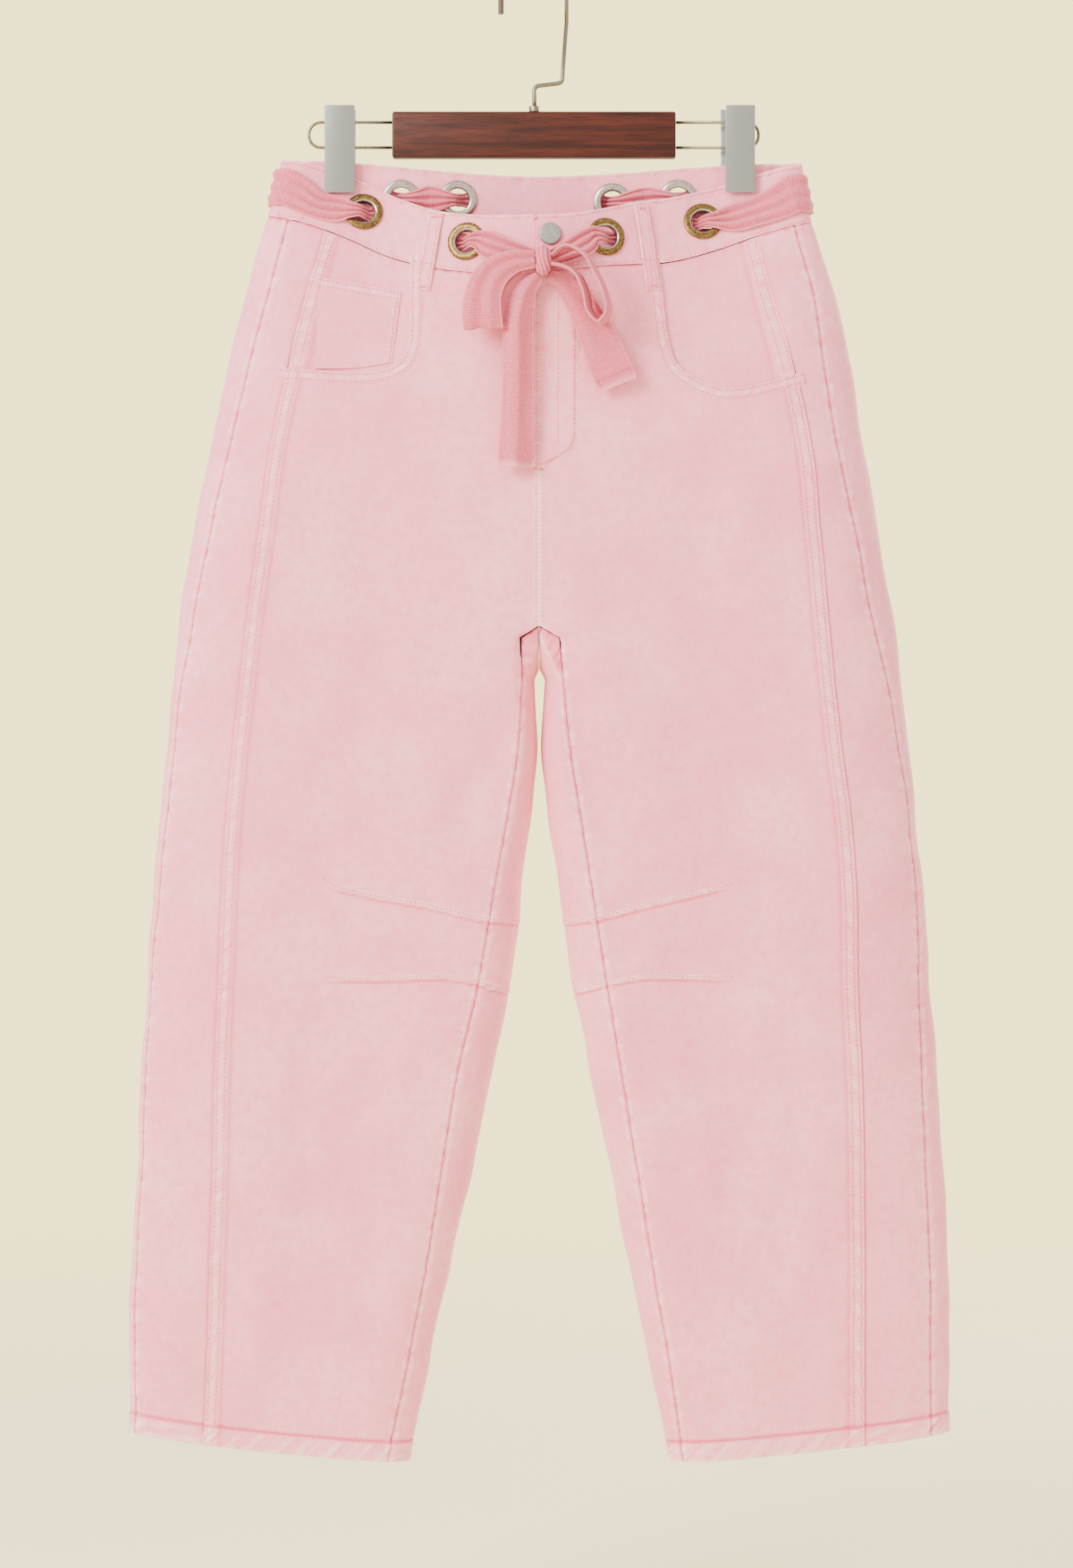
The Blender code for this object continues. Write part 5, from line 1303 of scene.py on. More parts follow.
coin_pucker = wobble(coin_x, 9) * bump(from_top - 3, 5) + wobble(coin_drop, 8) * bump(from_side - 2, 4)
coin_form = COIN_HEIGHT + 0.25 * coin_pucker - 0.25 * coin_rows
coin_form = coin_form + turned_edge(np.minimum(from_top, from_side), 0.7)
# Pale along the top and side edges, as real wear; painted shade along the stitched rows and in the pucker
# troughs.
coin_wear_and_shade = 0.4 * (1 - smoothstep((from_top - 7) / 2)) + 0.4 * (1 - smoothstep((from_side - 3) / 2))
coin_wear_and_shade = coin_wear_and_shade + 0.3 * coin_pucker - 0.4 * coin_rows
coin_pocket = patch("coin_pocket_patch", -coin_x, coin_drop, coin_form, coin_wear_and_shade, 0.9)


# %% Cut the scoops and turn their edges
SCOOP_EDGE = 9.0
SCOOP_ROWS = (1.8, 7.4)


def cut_scoop(panel, side):
    sign = SIGN[side]
    edge = scoop_edge(side, spans=8)
    outline = edge + [(sign * 232, edge[-1][1]), (sign * 232, -170), (edge[0][0], -170)]
    deselect()
    bpy.ops.mesh.primitive_circle_add(vertices=len(outline), radius=1, fill_type="NGON")
    tool = bpy.context.object
    for vertex, (x, z) in zip(tool.data.vertices, outline):
        vertex.co = ((x + GARMENT_X) * MM, -0.07, z * MM)
    bpy.ops.object.mode_set(mode="EDIT")
    bpy.ops.mesh.select_all(action="SELECT")
    bpy.ops.mesh.extrude_region_move(TRANSFORM_OT_translate={"value": (0, 0.065, 0)})
    bpy.ops.mesh.select_all(action="SELECT")
    bpy.ops.mesh.normals_make_consistent(inside=False)
    bpy.ops.object.mode_set(mode="OBJECT")
    cut_away(panel, tool)


def into_panel(edge, side):
    """The ways from the scoop's edge into the front panel, square to the edge."""
    tangent = np.gradient(edge, axis=0)
    tangent /= np.linalg.norm(tangent, axis=1, keepdims=True)
    return np.stack([tangent[:, 1], -tangent[:, 0]], axis=1) * SIGN[side]


def scoop_strip(side):
    """The turned edge of a pocket opening, with its two rows of topstitching."""
    edge = np.array(scoop_edge(side, spans=10))
    along = np.concatenate([[0], np.cumsum(np.hypot(*np.diff(edge, axis=0).T))])
    even = np.linspace(0, along[-1], int(along[-1] / 2.0))
    edge = np.stack([np.interp(even, along, edge[:, k]) for k in (0, 1)], axis=1)
    into = into_panel(edge, side)
    offset = np.array([-0.5, -0.45, -0.3, 0.1, 0.7, 1.3, 1.8, 2.4, 3.4, 4.6, 5.8, 6.8, 7.4, 8.0, 8.8, 9.6])
    rounding = np.array([-2.2, -1.4, -0.6, -0.1] + [0.0] * 11 + [-0.6])
    place = edge[:, None] + into[:, None] * offset[None, :, None]
    distance = np.broadcast_to(offset, place.shape[:2])
    pucker = wobble(even[:, None] + 0.7 * distance, 11)
    pulled = bump(distance - SCOOP_ROWS[0], 0.9) + bump(distance - SCOOP_ROWS[1], 0.9)
    ridge = 1 - smoothstep((distance - SCOOP_EDGE + 1.4) / 2)
    height = 0.12 + 0.62 * ridge + rounding - 0.25 * pulled + 0.26 * pucker * ridge
    # Pale along the turned edge, as real wear; painted shade along both stitched rows.
    wear_and_shade = ridge * (0.34 + 0.3 * pucker) - 0.4 * pulled
    return patch(f"scoop_edge_{side}", place[..., 0], -place[..., 1], height, wear_and_shade, 0.7)[0]


PANEL_CLOTH = 1.3  # and twice that in the hem
for half in SIGN:
    for part in ("front", "side", "back"):
        piece = PANELS[part, half][0]
        double = piece.vertex_groups.new(name="double")
        low = [v.index for v in piece.data.vertices if v.co.z < -(HEM_STITCH + 1.5) * MM]
        double.add(low, 1.0, "REPLACE")
        wall = piece.modifiers.new("wall", "SOLIDIFY")
        wall.thickness = 2 * PANEL_CLOTH * MM
        wall.offset = -1
        wall.vertex_group = "double"
        wall.thickness_vertex_group = 0.5
        apply_modifiers(piece)
        if part == "front":
            cut_scoop(piece, half)
            strip = scoop_strip(half)
            activate(piece)
            strip.select_set(True)
            bpy.ops.object.join()
        smooth(piece)
print("fronts", [len(PANELS["front", half][0].data.polygons) for half in SIGN])

# %% [markdown]
# ## The fly
#
# The left front laps over the right and hides the zip. Its curved topstitching holds a facing
# behind, so only a low ridge and the stitches show. The outer layer is a patch whose far edge sinks
# into the front where the curve is sewn.

# %% Fly
FLY_EDGE, FLY_WIDTH, FLY_STRAIGHT, FLY_END = -4.0, 34.0, 357.0, 384.5
FLY_ROW, FLY_EDGE_ROW = 3.4, 2.2  # topstitching, from the curve and from the lapped edge


def fly_reach(drop):
    bend = np.clip((drop - FLY_STRAIGHT) / (FLY_END - FLY_STRAIGHT), 0, 1)
    return FLY_WIDTH * (1 - 0.97 * bend**2.6)


u, drop = np.meshgrid(
    np.concatenate([[0, 0.012, 0.03, 0.06, 0.1, 0.15], np.linspace(0.2, 1, 18)]),
    np.concatenate([np.linspace(236.5, 356, 60), np.linspace(357.5, FLY_END, 18)]),
)
reach = fly_reach(drop)
fly_x = FLY_EDGE + reach * u
from_edge = reach * u
from_curve = np.minimum(reach * (1 - u), FLY_END - drop)
fly_pucker = wobble(drop + from_curve, 12) * bump(from_curve - 2, 5)
fly_pucker = fly_pucker + wobble(drop, 14) * bump(from_edge - 3, 4)
fly_form = 0.25 + 1.45 * smoothstep(from_curve / 4.0) + 0.24 * fly_pucker
fly_form = fly_form - 0.3 * bump(from_curve - FLY_ROW, 1.0)
fly_form = fly_form + turned_edge(from_edge, 0.9) * smoothstep(from_curve / 3)
fly_form = fly_form - 0.25 * bump(from_edge - FLY_EDGE_ROW, 0.9)
fly_form = fly_form + 0.5 * np.sin(drop / 19 + 0.5) * smoothstep(from_edge / 12) * smoothstep(from_curve / 9)
# Pale along the lapped edge and the sewn curve, as real wear; painted shade along the curved row and in the
# pucker troughs.
fly_wear_and_shade = 0.55 * bump(from_edge - 1, 2.5) + 0.45 * bump(from_curve - 1.2, 1.8)
fly_wear_and_shade = fly_wear_and_shade - 0.5 * bump(from_curve - FLY_ROW, 1.1) + 0.35 * fly_pucker
fly = patch("fly_front", fly_x, drop, fly_form, fly_wear_and_shade, PATCH_CLOTH)

# %% [markdown]
# ## The waistband
#
# The band is cut double and topstitched close to both edges. It sags open at the front between the
# clips and is pressed flat under them. Eight holes take the eyelets.

# %% Waistband
BAND_SHARES = np.array([0, .012, .028, .05, .08, .12, .17, .23, .3, .38, .46, .54, .62, .7, .77, .83, .88,
                        .92, .95, .972, .988, 1.0])
BAND_PARTS = {
    "front_right": (("right", "front", -OVERLAP_EDGE + HALF_GAP, False),),
    "front_left": (("left", "front", OVERLAP_EDGE + HALF_GAP, False),),
    "back": (("right", "back", 0.0, True), ("left", "back", None, False)),
}
BAND_ROW = 2.2  # topstitching, from either edge
BANDS = {}


def band_grid(parts):
    rows = []
    for share in BAND_SHARES:
        level = BAND_TOP + (BAND_SEAM - BAND_TOP - SEAM_GAP) * share
        row = []
        for side, face, start, turned in parts:
            x = band_across(side, level)
            if start is None:
                x = x[1:]
            else:
                x[0] = start
            points = face_points(side, face, x, level)
            points[-1, 1] = -HALF_GAP if face == "front" else HALF_GAP
            if side == "right":
                points[:, 0] *= -1
            row.append(points[::-1] if turned else points)
        rows.append(np.concatenate(row))
    return np.array(rows)


for place, parts in BAND_PARTS.items():
    grid = band_grid(parts)
    used = np.ones((grid.shape[0] - 1, grid.shape[1] - 1), bool)
    normals = vertex_normals(grid, used)
    outward = 1.0 if parts[0][1] == "back" else -1.0
    normals *= np.sign(np.median(normals[..., 1])) * outward
    for column in [k for k in (0, -1) if abs(grid[0, k, 0]) > CLIP_OUT]:
        normals[:, column, 1] = 0
        normals[:, column] /= np.linalg.norm(normals[:, column], axis=1, keepdims=True)
    from_top = (BAND_SEAM - BAND_TOP) * BAND_SHARES[:, None]
    from_low = (BAND_SEAM - BAND_TOP) * (1 - BAND_SHARES[:, None])
    along = grid[..., 0]
    rows = bump(from_top - BAND_ROW, 0.9) + bump(from_low - BAND_ROW, 0.9)
    pucker = wobble(along + 0.6 * from_top, 15) * bump(from_top - 1, 6)
    pucker = pucker + wobble(along, 17) * bump(from_low - 1, 6)
    height = turned_edge(from_top, 0.9) + turned_edge(from_low, 0.5) - 0.25 * rows + 0.3 * pucker
    height = height + 0.25 * np.sin(along / 23 + 1) * np.sin(from_top / 11)
    # Pale along both edges, as real wear; painted shade along the two stitched rows and in the pucker
    # troughs.
    wear_and_shade = 0.55 * bump(from_top - 0.8, 1.3) + 0.5 * bump(from_low - 1.0, 1.4) - 0.45 * rows + 0.4 * pucker
    away = np.full(grid.shape[:2], 99.0)
    for name, (face, x, drop) in EYELETS.items():
        if face == parts[0][1]:
            away = np.minimum(away, np.hypot(grid[..., 0] - x, -grid[..., 2] - drop))
    flat_here = smoothstep((away - EYELET_RADIUS) / 4)
    height = height * flat_here - 0.25 * bump(away - EYELET_RADIUS - 1, 1.5)
    points = grid + normals * height[..., None] + TO_GARMENT
    flat = np.stack(np.broadcast_arrays(along, -from_top), axis=-1)
    piece = cloth_grid(f"band_{place}", points, flat, normals, wear_and_shade)
    thicken(piece, BAND_CLOTH)
    BANDS[place] = (piece, *flat_size(points))


# %% Holes for the eyelets
def eyelet_frame(face, x, drop):
    """A matrix whose Z axis is the way out of the band, at the middle of its wall."""
    normal = Vector(normals_on(face, x, drop))
    centre = Vector(points_on(face, x, drop)) - normal * BAND_CLOTH / 2
    turn = Vector((0, 0, 1)).rotation_difference(normal).to_matrix().to_4x4()
    return Matrix.Translation((centre + Vector(TO_GARMENT)) * MM) @ turn


for name, (face, x, drop) in EYELETS.items():
    place = "back" if face == "back" else "front_right" if x < 0 else "front_left"
    deselect()
    bpy.ops.mesh.primitive_cylinder_add(vertices=40, radius=EYELET_HOLE * MM, depth=9 * MM)
    tool = bpy.context.object
    tool.matrix_world = eyelet_frame(face, x, drop)
    cut_away(BANDS[place][0], tool)
for piece, *_ in BANDS.values():
    smooth(piece)
print("bands", [len(piece.data.polygons) for piece, *_ in BANDS.values()])

# %% [markdown]
# ## Belt loops
#
# Each loop is a strip folded in three, sewn along both edges and tacked at both ends. The front
# ones lie almost flat on the band, and the back centre one stands off it over the belt.

# %% Belt loops
LOOPS = {}
LOOP_WIDTH = 11.0
LOOP_ROW = 1.9  # topstitching, from either edge


def loop_arch(stand_off, t):
    """How far a loop stands off the band, at shares t of its length."""
    return stand_off * np.sin(np.pi * np.minimum(1.0, t / 0.88)) ** 0.6


for name, (face, top, bottom, stand_off) in BELT_LOOPS.items():
    u, t = np.meshgrid(np.linspace(0, 1, 15), np.linspace(0, 1, 46))
    x = top[0] + (bottom[0] - top[0]) * t + (u - 0.5) * LOOP_WIDTH
    drop = top[1] + (bottom[1] - top[1]) * t
    arch = loop_arch(stand_off, t)
    edge = LOOP_WIDTH * np.minimum(u, 1 - u)
    end = (bottom[1] - top[1]) * np.minimum(t, 1 - t)
    pucker = wobble(drop + 2 * u, 19) * bump(edge - 1.5, 3)
    tack = bump(end - 4, 1.2)
    sewn_down = bump(edge - LOOP_ROW, 0.7)
    height = 1.9 + arch + turned_edge(edge, 0.9) + turned_edge(end, 0.7) + 0.2 * pucker
    height = height - 0.25 * sewn_down - 0.3 * tack
    # Pale along the folded edges and ends, as real wear; painted shade along the stitched rows and in the
    # pucker troughs.
    wear_and_shade = 0.6 * bump(edge - 0.7, 0.9) - 0.45 * sewn_down + 0.35 * pucker + 0.3 * bump(end, 2)
    LOOPS[name] = patch(f"loop_{name}", x, drop, height, wear_and_shade, PATCH_CLOTH, face)
print("loops", len(LOOPS))

# %% [markdown]
# ## Garment-dyed twill
#
# The cotton is woven in steep diagonals and brushed. Because the trousers were dyed whole, the dye
# is uneven: it clouds a little and leaves proud edges pale. The hollows of the seams are painted a
# deeper pink, as shade. The diagonal and the slubs follow the UV map, which is in metres along the
# cut cloth. The clouds use Object coordinates. The nap gives a soft sheen at grazing angles.

# %% Twill
TWILL_PITCH = 1.5  # mm, drawn twice as coarse as the real diagonal so that it shows
SLUB = (0.9, 9.0)  # mm, width and length of the thick places in the yarn


def in_millimetres(tree):
    laid = add(tree, "UVMap").outputs["UV"]
    return add(tree, "VectorMath", {0: laid, "Scale": 1000.0}, operation="SCALE").outputs["Vector"]


def raise_by(tree, shader, height, strength, depth):
    """Gives the surface the fine relief of another node's output, to a depth in mm."""
    relief = add(tree, "Bump", {"Height": height, "Strength": strength, "Distance": depth * MM})
    tree.links.new(relief.outputs[0], shader.inputs["Normal"])


def garment_twill():
    made, tree, shader = new_material("garment_dyed_cotton_twill")
    laid = in_millimetres(tree)
    steep = add(tree, "Mapping", {"Vector": laid, "Rotation": (0, 0, math.radians(28))}).outputs[0]
    rib = add(tree, "TexWave", {"Vector": steep, "Scale": 0.314 / TWILL_PITCH, "Distortion": 1.2,
                                "Detail": 2.0, "Detail Scale": 2.0}).outputs["Fac"]
    yarn = add(tree, "Mapping", {"Vector": laid, "Scale": (1 / SLUB[0], 1 / SLUB[1], 1)}).outputs[0]
    slub = add(tree, "TexNoise", {"Vector": yarn, "Scale": 1.0, "Detail": 2.0}).outputs["Fac"]
    place = add(tree, "TexCoord").outputs["Object"]
    cloud = add(tree, "TexNoise", {"Vector": place, "Scale": 17.0, "Detail": 3.0}).outputs["Fac"]
    mottle = add(tree, "TexNoise", {"Vector": place, "Scale": 150.0, "Detail": 3.0}).outputs["Fac"]
    wear_and_shade = add(tree, "Attribute", attribute_name="wear_and_shade").outputs["Fac"]
    cloth = mixed(tree, ranged(tree, cloud, 0.35, 0.65), "#f690ab", "#fba6b8")
    cloth = mixed(tree, ranged(tree, mottle, 0.42, 0.62, 0, 0.4), cloth, "#f07d9b")
    cloth = mixed(tree, ranged(tree, slub, 0.5, 0.75, 0, 0.35), cloth, "#fcc0c9")
    cloth = mixed(tree, ranged(tree, rib, 0.0, 1.0, 0.2, 0.0), cloth, "#e8688a")
    # Pale where the attribute is above 0, on proud edges, as real wear.
    rubbed = add(tree, "Math", {0: wear_and_shade, 1: ranged(tree, mottle, 0.3, 0.7, 0.5, 1.4)}, operation="MULTIPLY")
    cloth = mixed(tree, ranged(tree, rubbed.outputs[0], 0.1, 0.95, 0, 0.85), cloth, "#fdd8d6")
    # Painted shade: deeper pink where the attribute falls below 0, in seam hollows, along pulled rows and
    # under folds.
    cloth = mixed(tree, ranged(tree, wear_and_shade, -0.12, -0.95, 0, 0.9), cloth, "#dc3f66")
    tree.links.new(cloth, shader.inputs["Base Color"])
    tree.links.new(ranged(tree, mottle, 0.3, 0.7, 0.8, 0.94), shader.inputs["Roughness"])
    shader.inputs["Sheen Weight"].default_value = 0.22
    shader.inputs["Sheen Roughness"].default_value = 0.55
    weave = add(tree, "Math", {0: rib, 1: slub}, operation="ADD").outputs[0]
    weave = add(tree, "Math", {0: weave, 1: mottle}, operation="ADD").outputs[0]
    raise_by(tree, shader, weave, 0.5, 0.25)
    return made


twill = garment_twill()

# %% [markdown]
# ## Woven tape
#
# The belt is a ribbed cotton tape, thicker and redder than the twill. Its ribs cross it. Where the
# tape is gathered the ribs fan, because they follow the UV map along its length.

# %% Tape, thread and hardware finishes
RIB_PITCH = 1.9  # mm


def woven_tape():
    made, tree, shader = new_material("ribbed_woven_cotton_tape")
    laid = in_millimetres(tree)
    rib = add(tree, "TexWave", {"Vector": laid, "Scale": 0.314 / RIB_PITCH, "Distortion": 0.6,
                                "Detail": 1.0}, bands_direction="Y").outputs["Fac"]
    ends = add(tree, "TexWave", {"Vector": laid, "Scale": 0.314 / 1.3}, bands_direction="X").outputs["Fac"]
    mottle = add(tree, "TexNoise", {"Vector": laid, "Scale": 0.35, "Detail": 3.0}).outputs["Fac"]
    wear_and_shade = add(tree, "Attribute", attribute_name="wear_and_shade").outputs["Fac"]
    tape = mixed(tree, ranged(tree, mottle, 0.35, 0.65), "#db5f7c", "#e4778e")
    tape = mixed(tree, ranged(tree, rib, 0.0, 1.0, 0.35, 0.0), tape, "#b93653")
    tape = mixed(tree, ranged(tree, ends, 0.0, 1.0, 0.12, 0.0), tape, "#b93653")
    # Painted light and shade on the gathered pleats: paler on their crests where the attribute is above 0,
    # darker in their valleys where it is below 0. The same mix makes the edges and the tail ends paler, with
    # a darker line just inside.
    tape = mixed(tree, ranged(tree, wear_and_shade, 0.1, 1.0, 0, 0.75), tape, "#f3a9b2")
    tape = mixed(tree, ranged(tree, wear_and_shade, -0.1, -1.0, 0, 0.85), tape, "#a52c49")
    tree.links.new(tape, shader.inputs["Base Color"])
    tree.links.new(ranged(tree, mottle, 0.3, 0.7, 0.76, 0.92), shader.inputs["Roughness"])
    shader.inputs["Sheen Weight"].default_value = 0.2
    weave = add(tree, "Math", {0: rib, 1: ends}, operation="ADD").outputs[0]
    raise_by(tree, shader, weave, 0.7, 0.35)
    return made


def plain_finish(name, low, high, metallic, rough, grain, stretch=(1, 1, 1)):
    """A metal, plastic or thread whose tone and roughness vary over grains of a size in mm."""
    made, tree, shader = new_material(name)
    place = add(tree, "TexCoord").outputs["Object"]
    drawn = add(tree, "Mapping", {"Vector": place, "Scale": stretch}).outputs[0]
    speck = add(tree, "TexNoise", {"Vector": drawn, "Scale": 1000 / grain, "Detail": 4.0}).outputs["Fac"]
    tree.links.new(mixed(tree, ranged(tree, speck, 0.35, 0.65), low, high), shader.inputs["Base Color"])
    tree.links.new(ranged(tree, speck, 0.3, 0.7, *rough), shader.inputs["Roughness"])
    shader.inputs["Metallic"].default_value = metallic
    raise_by(tree, shader, speck, 0.3, 0.03)
    return made


tape = woven_tape()
thread = plain_finish("spun_polyester_thread", "#dd5577", "#f08aa1", 0, (0.7, 0.85), 0.8)
brass = plain_finish("antiqued_stamped_brass", "#4d3a1e", "#8a7042", 1, (0.32, 0.5), 1.6)
nickel = plain_finish("nickel_plated_barrel", "#8f8d86", "#b5b3ac", 1, (0.22, 0.35), 1.2)
steel = plain_finish("brushed_sheet_steel", "#808380", "#9fa29f", 1, (0.28, 0.42), 0.5, (12, 12, 1))
wire = plain_finish("drawn_plated_wire", "#655d4d", "#8a826f", 1, (0.3, 0.45), 0.8)
spring = plain_finish("hardened_spring_steel", "#4b4d4c", "#6a6c6b", 1, (0.35, 0.5), 1.0)
pewter = plain_finish("cast_pewter", "#82837f", "#a8a9a5", 1, (0.35, 0.55), 0.9)
sleeve = plain_finish("heat_shrunk_polyolefin_sleeve", "#3f2c22", "#533c2e", 0, (0.45, 0.6), 1.0)


def varnished_wood():
    """Hardwood, planed, stained and varnished: long grain along the bar, dark pores, a thin coat."""
    made, tree, shader = new_material("varnished_stained_beech")
    place = add(tree, "TexCoord").outputs["Object"]
    along = add(tree, "Mapping", {"Vector": place, "Scale": (0.06, 1, 1)}).outputs[0]
    grain = add(tree, "TexNoise", {"Vector": along, "Scale": 260.0, "Detail": 5.0}).outputs["Fac"]
    fibre = add(tree, "TexNoise", {"Vector": along, "Scale": 1400.0, "Detail": 2.0}).outputs["Fac"]
    stain = mixed(tree, ranged(tree, grain, 0.35, 0.65), "#2b0c07", "#481a10")
    stain = mixed(tree, ranged(tree, fibre, 0.52, 0.68, 0, 0.55), stain, "#1b0604")
    tree.links.new(stain, shader.inputs["Base Color"])
    tree.links.new(ranged(tree, fibre, 0.3, 0.7, 0.45, 0.62), shader.inputs["Roughness"])
    shader.inputs["Specular IOR Level"].default_value = 0.22
    shader.inputs["Coat Weight"].default_value = 0.06
    shader.inputs["Coat Roughness"].default_value = 0.2
    raise_by(tree, shader, fibre, 0.25, 0.06)
    return made


wood = varnished_wood()

# %% [markdown]
#
# Each panel stands for its solid, rides on the one body, and says what size it was cut to.

# %% Finish the sewn pieces
def finish_cloth(cut, node):
    """Dresses a cut of twill and prints its flat size. The cut holds its piece, its flat size and its area;
    the area is not used.
    """
    piece, flat, area = cut
    dress(piece, twill)
    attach(piece, "root")
    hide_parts(node)
    print(piece.name, "cut", [round(s, 3) for s in flat], "faces", len(piece.data.polygons))


for (part, half), cut in PANELS.items():
    finish_cloth(cut, f"{part}_{half}")
for half, cut in POCKETS.items():
    finish_cloth(cut, f"pocket_facing_{half}")
finish_cloth(coin_pocket, "coin_pocket")
finish_cloth(fly, "fly")
for place, cut in BANDS.items():
    finish_cloth(cut, f"waistband_{place}")
for name, cut in LOOPS.items():
    finish_cloth(cut, f"belt_loop_{name}")

# %% [markdown]
# ## Eyelets
#
# A stamped eyelet has a rolled brass face on the outside and a bright barrel through the cloth. Its
# section is drawn once, spun round its axis, and the ring is copied to its eight places.

# %% Eyelets
EYELET_INNER, EYELET_SEAT = 8.6, 2.2


def eyelet_ring():
    """One ring round the Z axis, as a spun section of radius and height."""
    roll = [(11.55 + 2.95 * math.cos(a), EYELET_SEAT - 0.1 + 1.4 * math.sin(a))
            for a in np.radians(np.linspace(0, 180, 11))]
    back = [(radius, -height) for radius, height in reversed(roll)]
    barrel = [(EYELET_INNER, 1.2), (8.75, 0.0), (EYELET_INNER, -1.2)]
    section = roll + barrel + back + [(13.6, -2.05), (9.3, -1.9), (9.3, 1.9), (13.6, 2.05)]
    deselect()
    bpy.ops.mesh.primitive_circle_add(vertices=len(section), radius=1)
    ring = bpy.context.object
    for vertex, (radius, height) in zip(ring.data.vertices, section):
        vertex.co = (radius * MM, 0, height * MM)
    bpy.ops.object.mode_set(mode="EDIT")
    bpy.ops.mesh.select_all(action="SELECT")
    bpy.ops.mesh.spin(steps=56, angle=2 * math.pi, center=(0, 0, 0), axis=(0, 0, 1))
    bpy.ops.mesh.select_all(action="SELECT")
    bpy.ops.mesh.remove_doubles(threshold=0.02 * MM)
    bpy.ops.mesh.normals_make_consistent(inside=False)
    bpy.ops.object.mode_set(mode="OBJECT")
    ring.data.materials.append(brass)
    ring.data.materials.append(nickel)
    for polygon in ring.data.polygons:
        middle = polygon.center
        if math.hypot(middle.x, middle.y) < EYELET_HOLE * MM or middle.z < 0:
            polygon.material_index = 1
    smooth(ring, 50)
    return ring


first_ring = eyelet_ring()
for name, (face, x, drop) in EYELETS.items():
    ring = first_ring.copy()
    ring.data = first_ring.data.copy()
    ring.name = ring.data.name = f"eyelet_ring_{name}"
    bpy.context.scene.collection.objects.link(ring)
    ring.matrix_world = eyelet_frame(face, x, drop)
    apply_place(ring)
    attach(ring, "root")
    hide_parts(f"eyelet_{name}")
bpy.data.objects.remove(first_ring, do_unlink=True)

# %% [markdown]
# ## The tie belt and its bow
#
# One woven tape goes from the knot in and out through the eyelets and round behind. It is 30 mm
# wide, and where it goes through a ring or a knot it gathers in lengthwise pleats. The pleats are
# as deep as it takes to keep the tape's width, so they flatten out where the tape spreads.

# %% Tape
TAPE_WIDTH = 30.0
TAPE_THICKNESS = 1.1


def tape_strip(name, rows, spans, pleats=3, most=1.6, seed=0.0, ends=False):
    """A strip of tape through rows of place, width, direction across it and crease height."""
    rows = np.array(rows, float)
    knots = running_length(rows[:, :3])
    at = np.concatenate([np.linspace(a, b, spans + 1)[:-1] for a, b in zip(knots[:-1], knots[1:])]
                        + [knots[-1:]])
    line = np.stack([curve_through(knots, rows[:, k], at) for k in range(8)], axis=1)
    path, width = line[:, :3], np.clip(line[:, 3], 6, TAPE_WIDTH)
    tangents = np.gradient(path, axis=0)
    tangents /= np.linalg.norm(tangents, axis=1, keepdims=True)
    across = line[:, 4:7] - tangents * np.sum(line[:, 4:7] * tangents, axis=1, keepdims=True)
    across /= np.linalg.norm(across, axis=1, keepdims=True)
    normals = np.cross(tangents, across)
    u = np.linspace(0, 1, 25)[None, :]
    spare = np.sqrt(2 * np.maximum((TAPE_WIDTH / width) ** 2 - 1, 0))
    depth = np.minimum(width / (2 * np.pi * pleats) * spare, most)[:, None]
    drift = 0.5 * np.sin(at / 23 + seed)[:, None] + 0.35 * np.sin(at / 9.0 + 2 * seed)[:, None] * u
    wave = np.sin(2 * np.pi * pleats * u + drift)
    lift = depth * wave + 0.16 * wobble(at[:, None] + 9 * u, 3 + seed)
    tent = np.sqrt((1 - np.abs(2 * u - 1)) ** 2 + 0.02) - math.sqrt(0.02)
    lift = lift + line[:, 7:8] * tent
    points = path[:, None] + across[:, None] * (width[:, None] * (u - 0.5))[..., None]
    points = points + normals[:, None] * lift[..., None]
    from_edge = np.minimum(u, 1 - u) * TAPE_WIDTH
    # Painted light and shade on the pleats: paler on the crests, darker in the valleys. The edges are paler
    # with a darker line just inside, and a tail's end is paler with a darker line 8 mm in.
    wear_and_shade = 0.24 * wave * np.minimum(1, depth / 1.2) + 0.35 * bump(from_edge, 1.3)
    wear_and_shade = wear_and_shade - 0.25 * bump(from_edge - 2.6, 0.8)
    if ends:
        from_end = (at[-1] - at)[:, None]
        wear_and_shade = wear_and_shade + 0.9 * bump(from_end, 3.5) - 0.6 * bump(from_end - 8, 1.4)
    outward = np.broadcast_to(normals[:, None], points.shape)
    flat = np.stack(np.broadcast_arrays(TAPE_WIDTH * (u - 0.5), -at[:, None]), axis=-1)
    piece = cloth_grid(name, points + TO_GARMENT, flat, outward, wear_and_shade)
    thicken(piece, TAPE_THICKNESS, offset=0)
    dress(piece, tape)
    return piece, float(at[-1])


def declare_tape(piece, node, length):
    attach(piece, "root")
    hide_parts(node)
    print(piece.name, "length", round(length, 1), "mm, faces", len(piece.data.polygons))


# %% Belt and bow
right_run, left_run = belt_rows("right"), belt_rows("left")
belt_piece, belt_length = tape_strip("tie_belt", right_run + left_run[-2::-1], spans=6, seed=1.0)
declare_tape(belt_piece, "belt", belt_length)
for k, (name, rows) in enumerate(BOW.items()):
    points = np.array(rows) * (1, 1, -1, 1, 1, 1, -1, 1)
    is_tail = "tail" in name
    strip, length = tape_strip(f"{name}_strip", points, spans=8, pleats=1 if is_tail else 2,
                               most=1.0, seed=2.0 + k, ends=is_tail)
    declare_tape(strip, name, length)

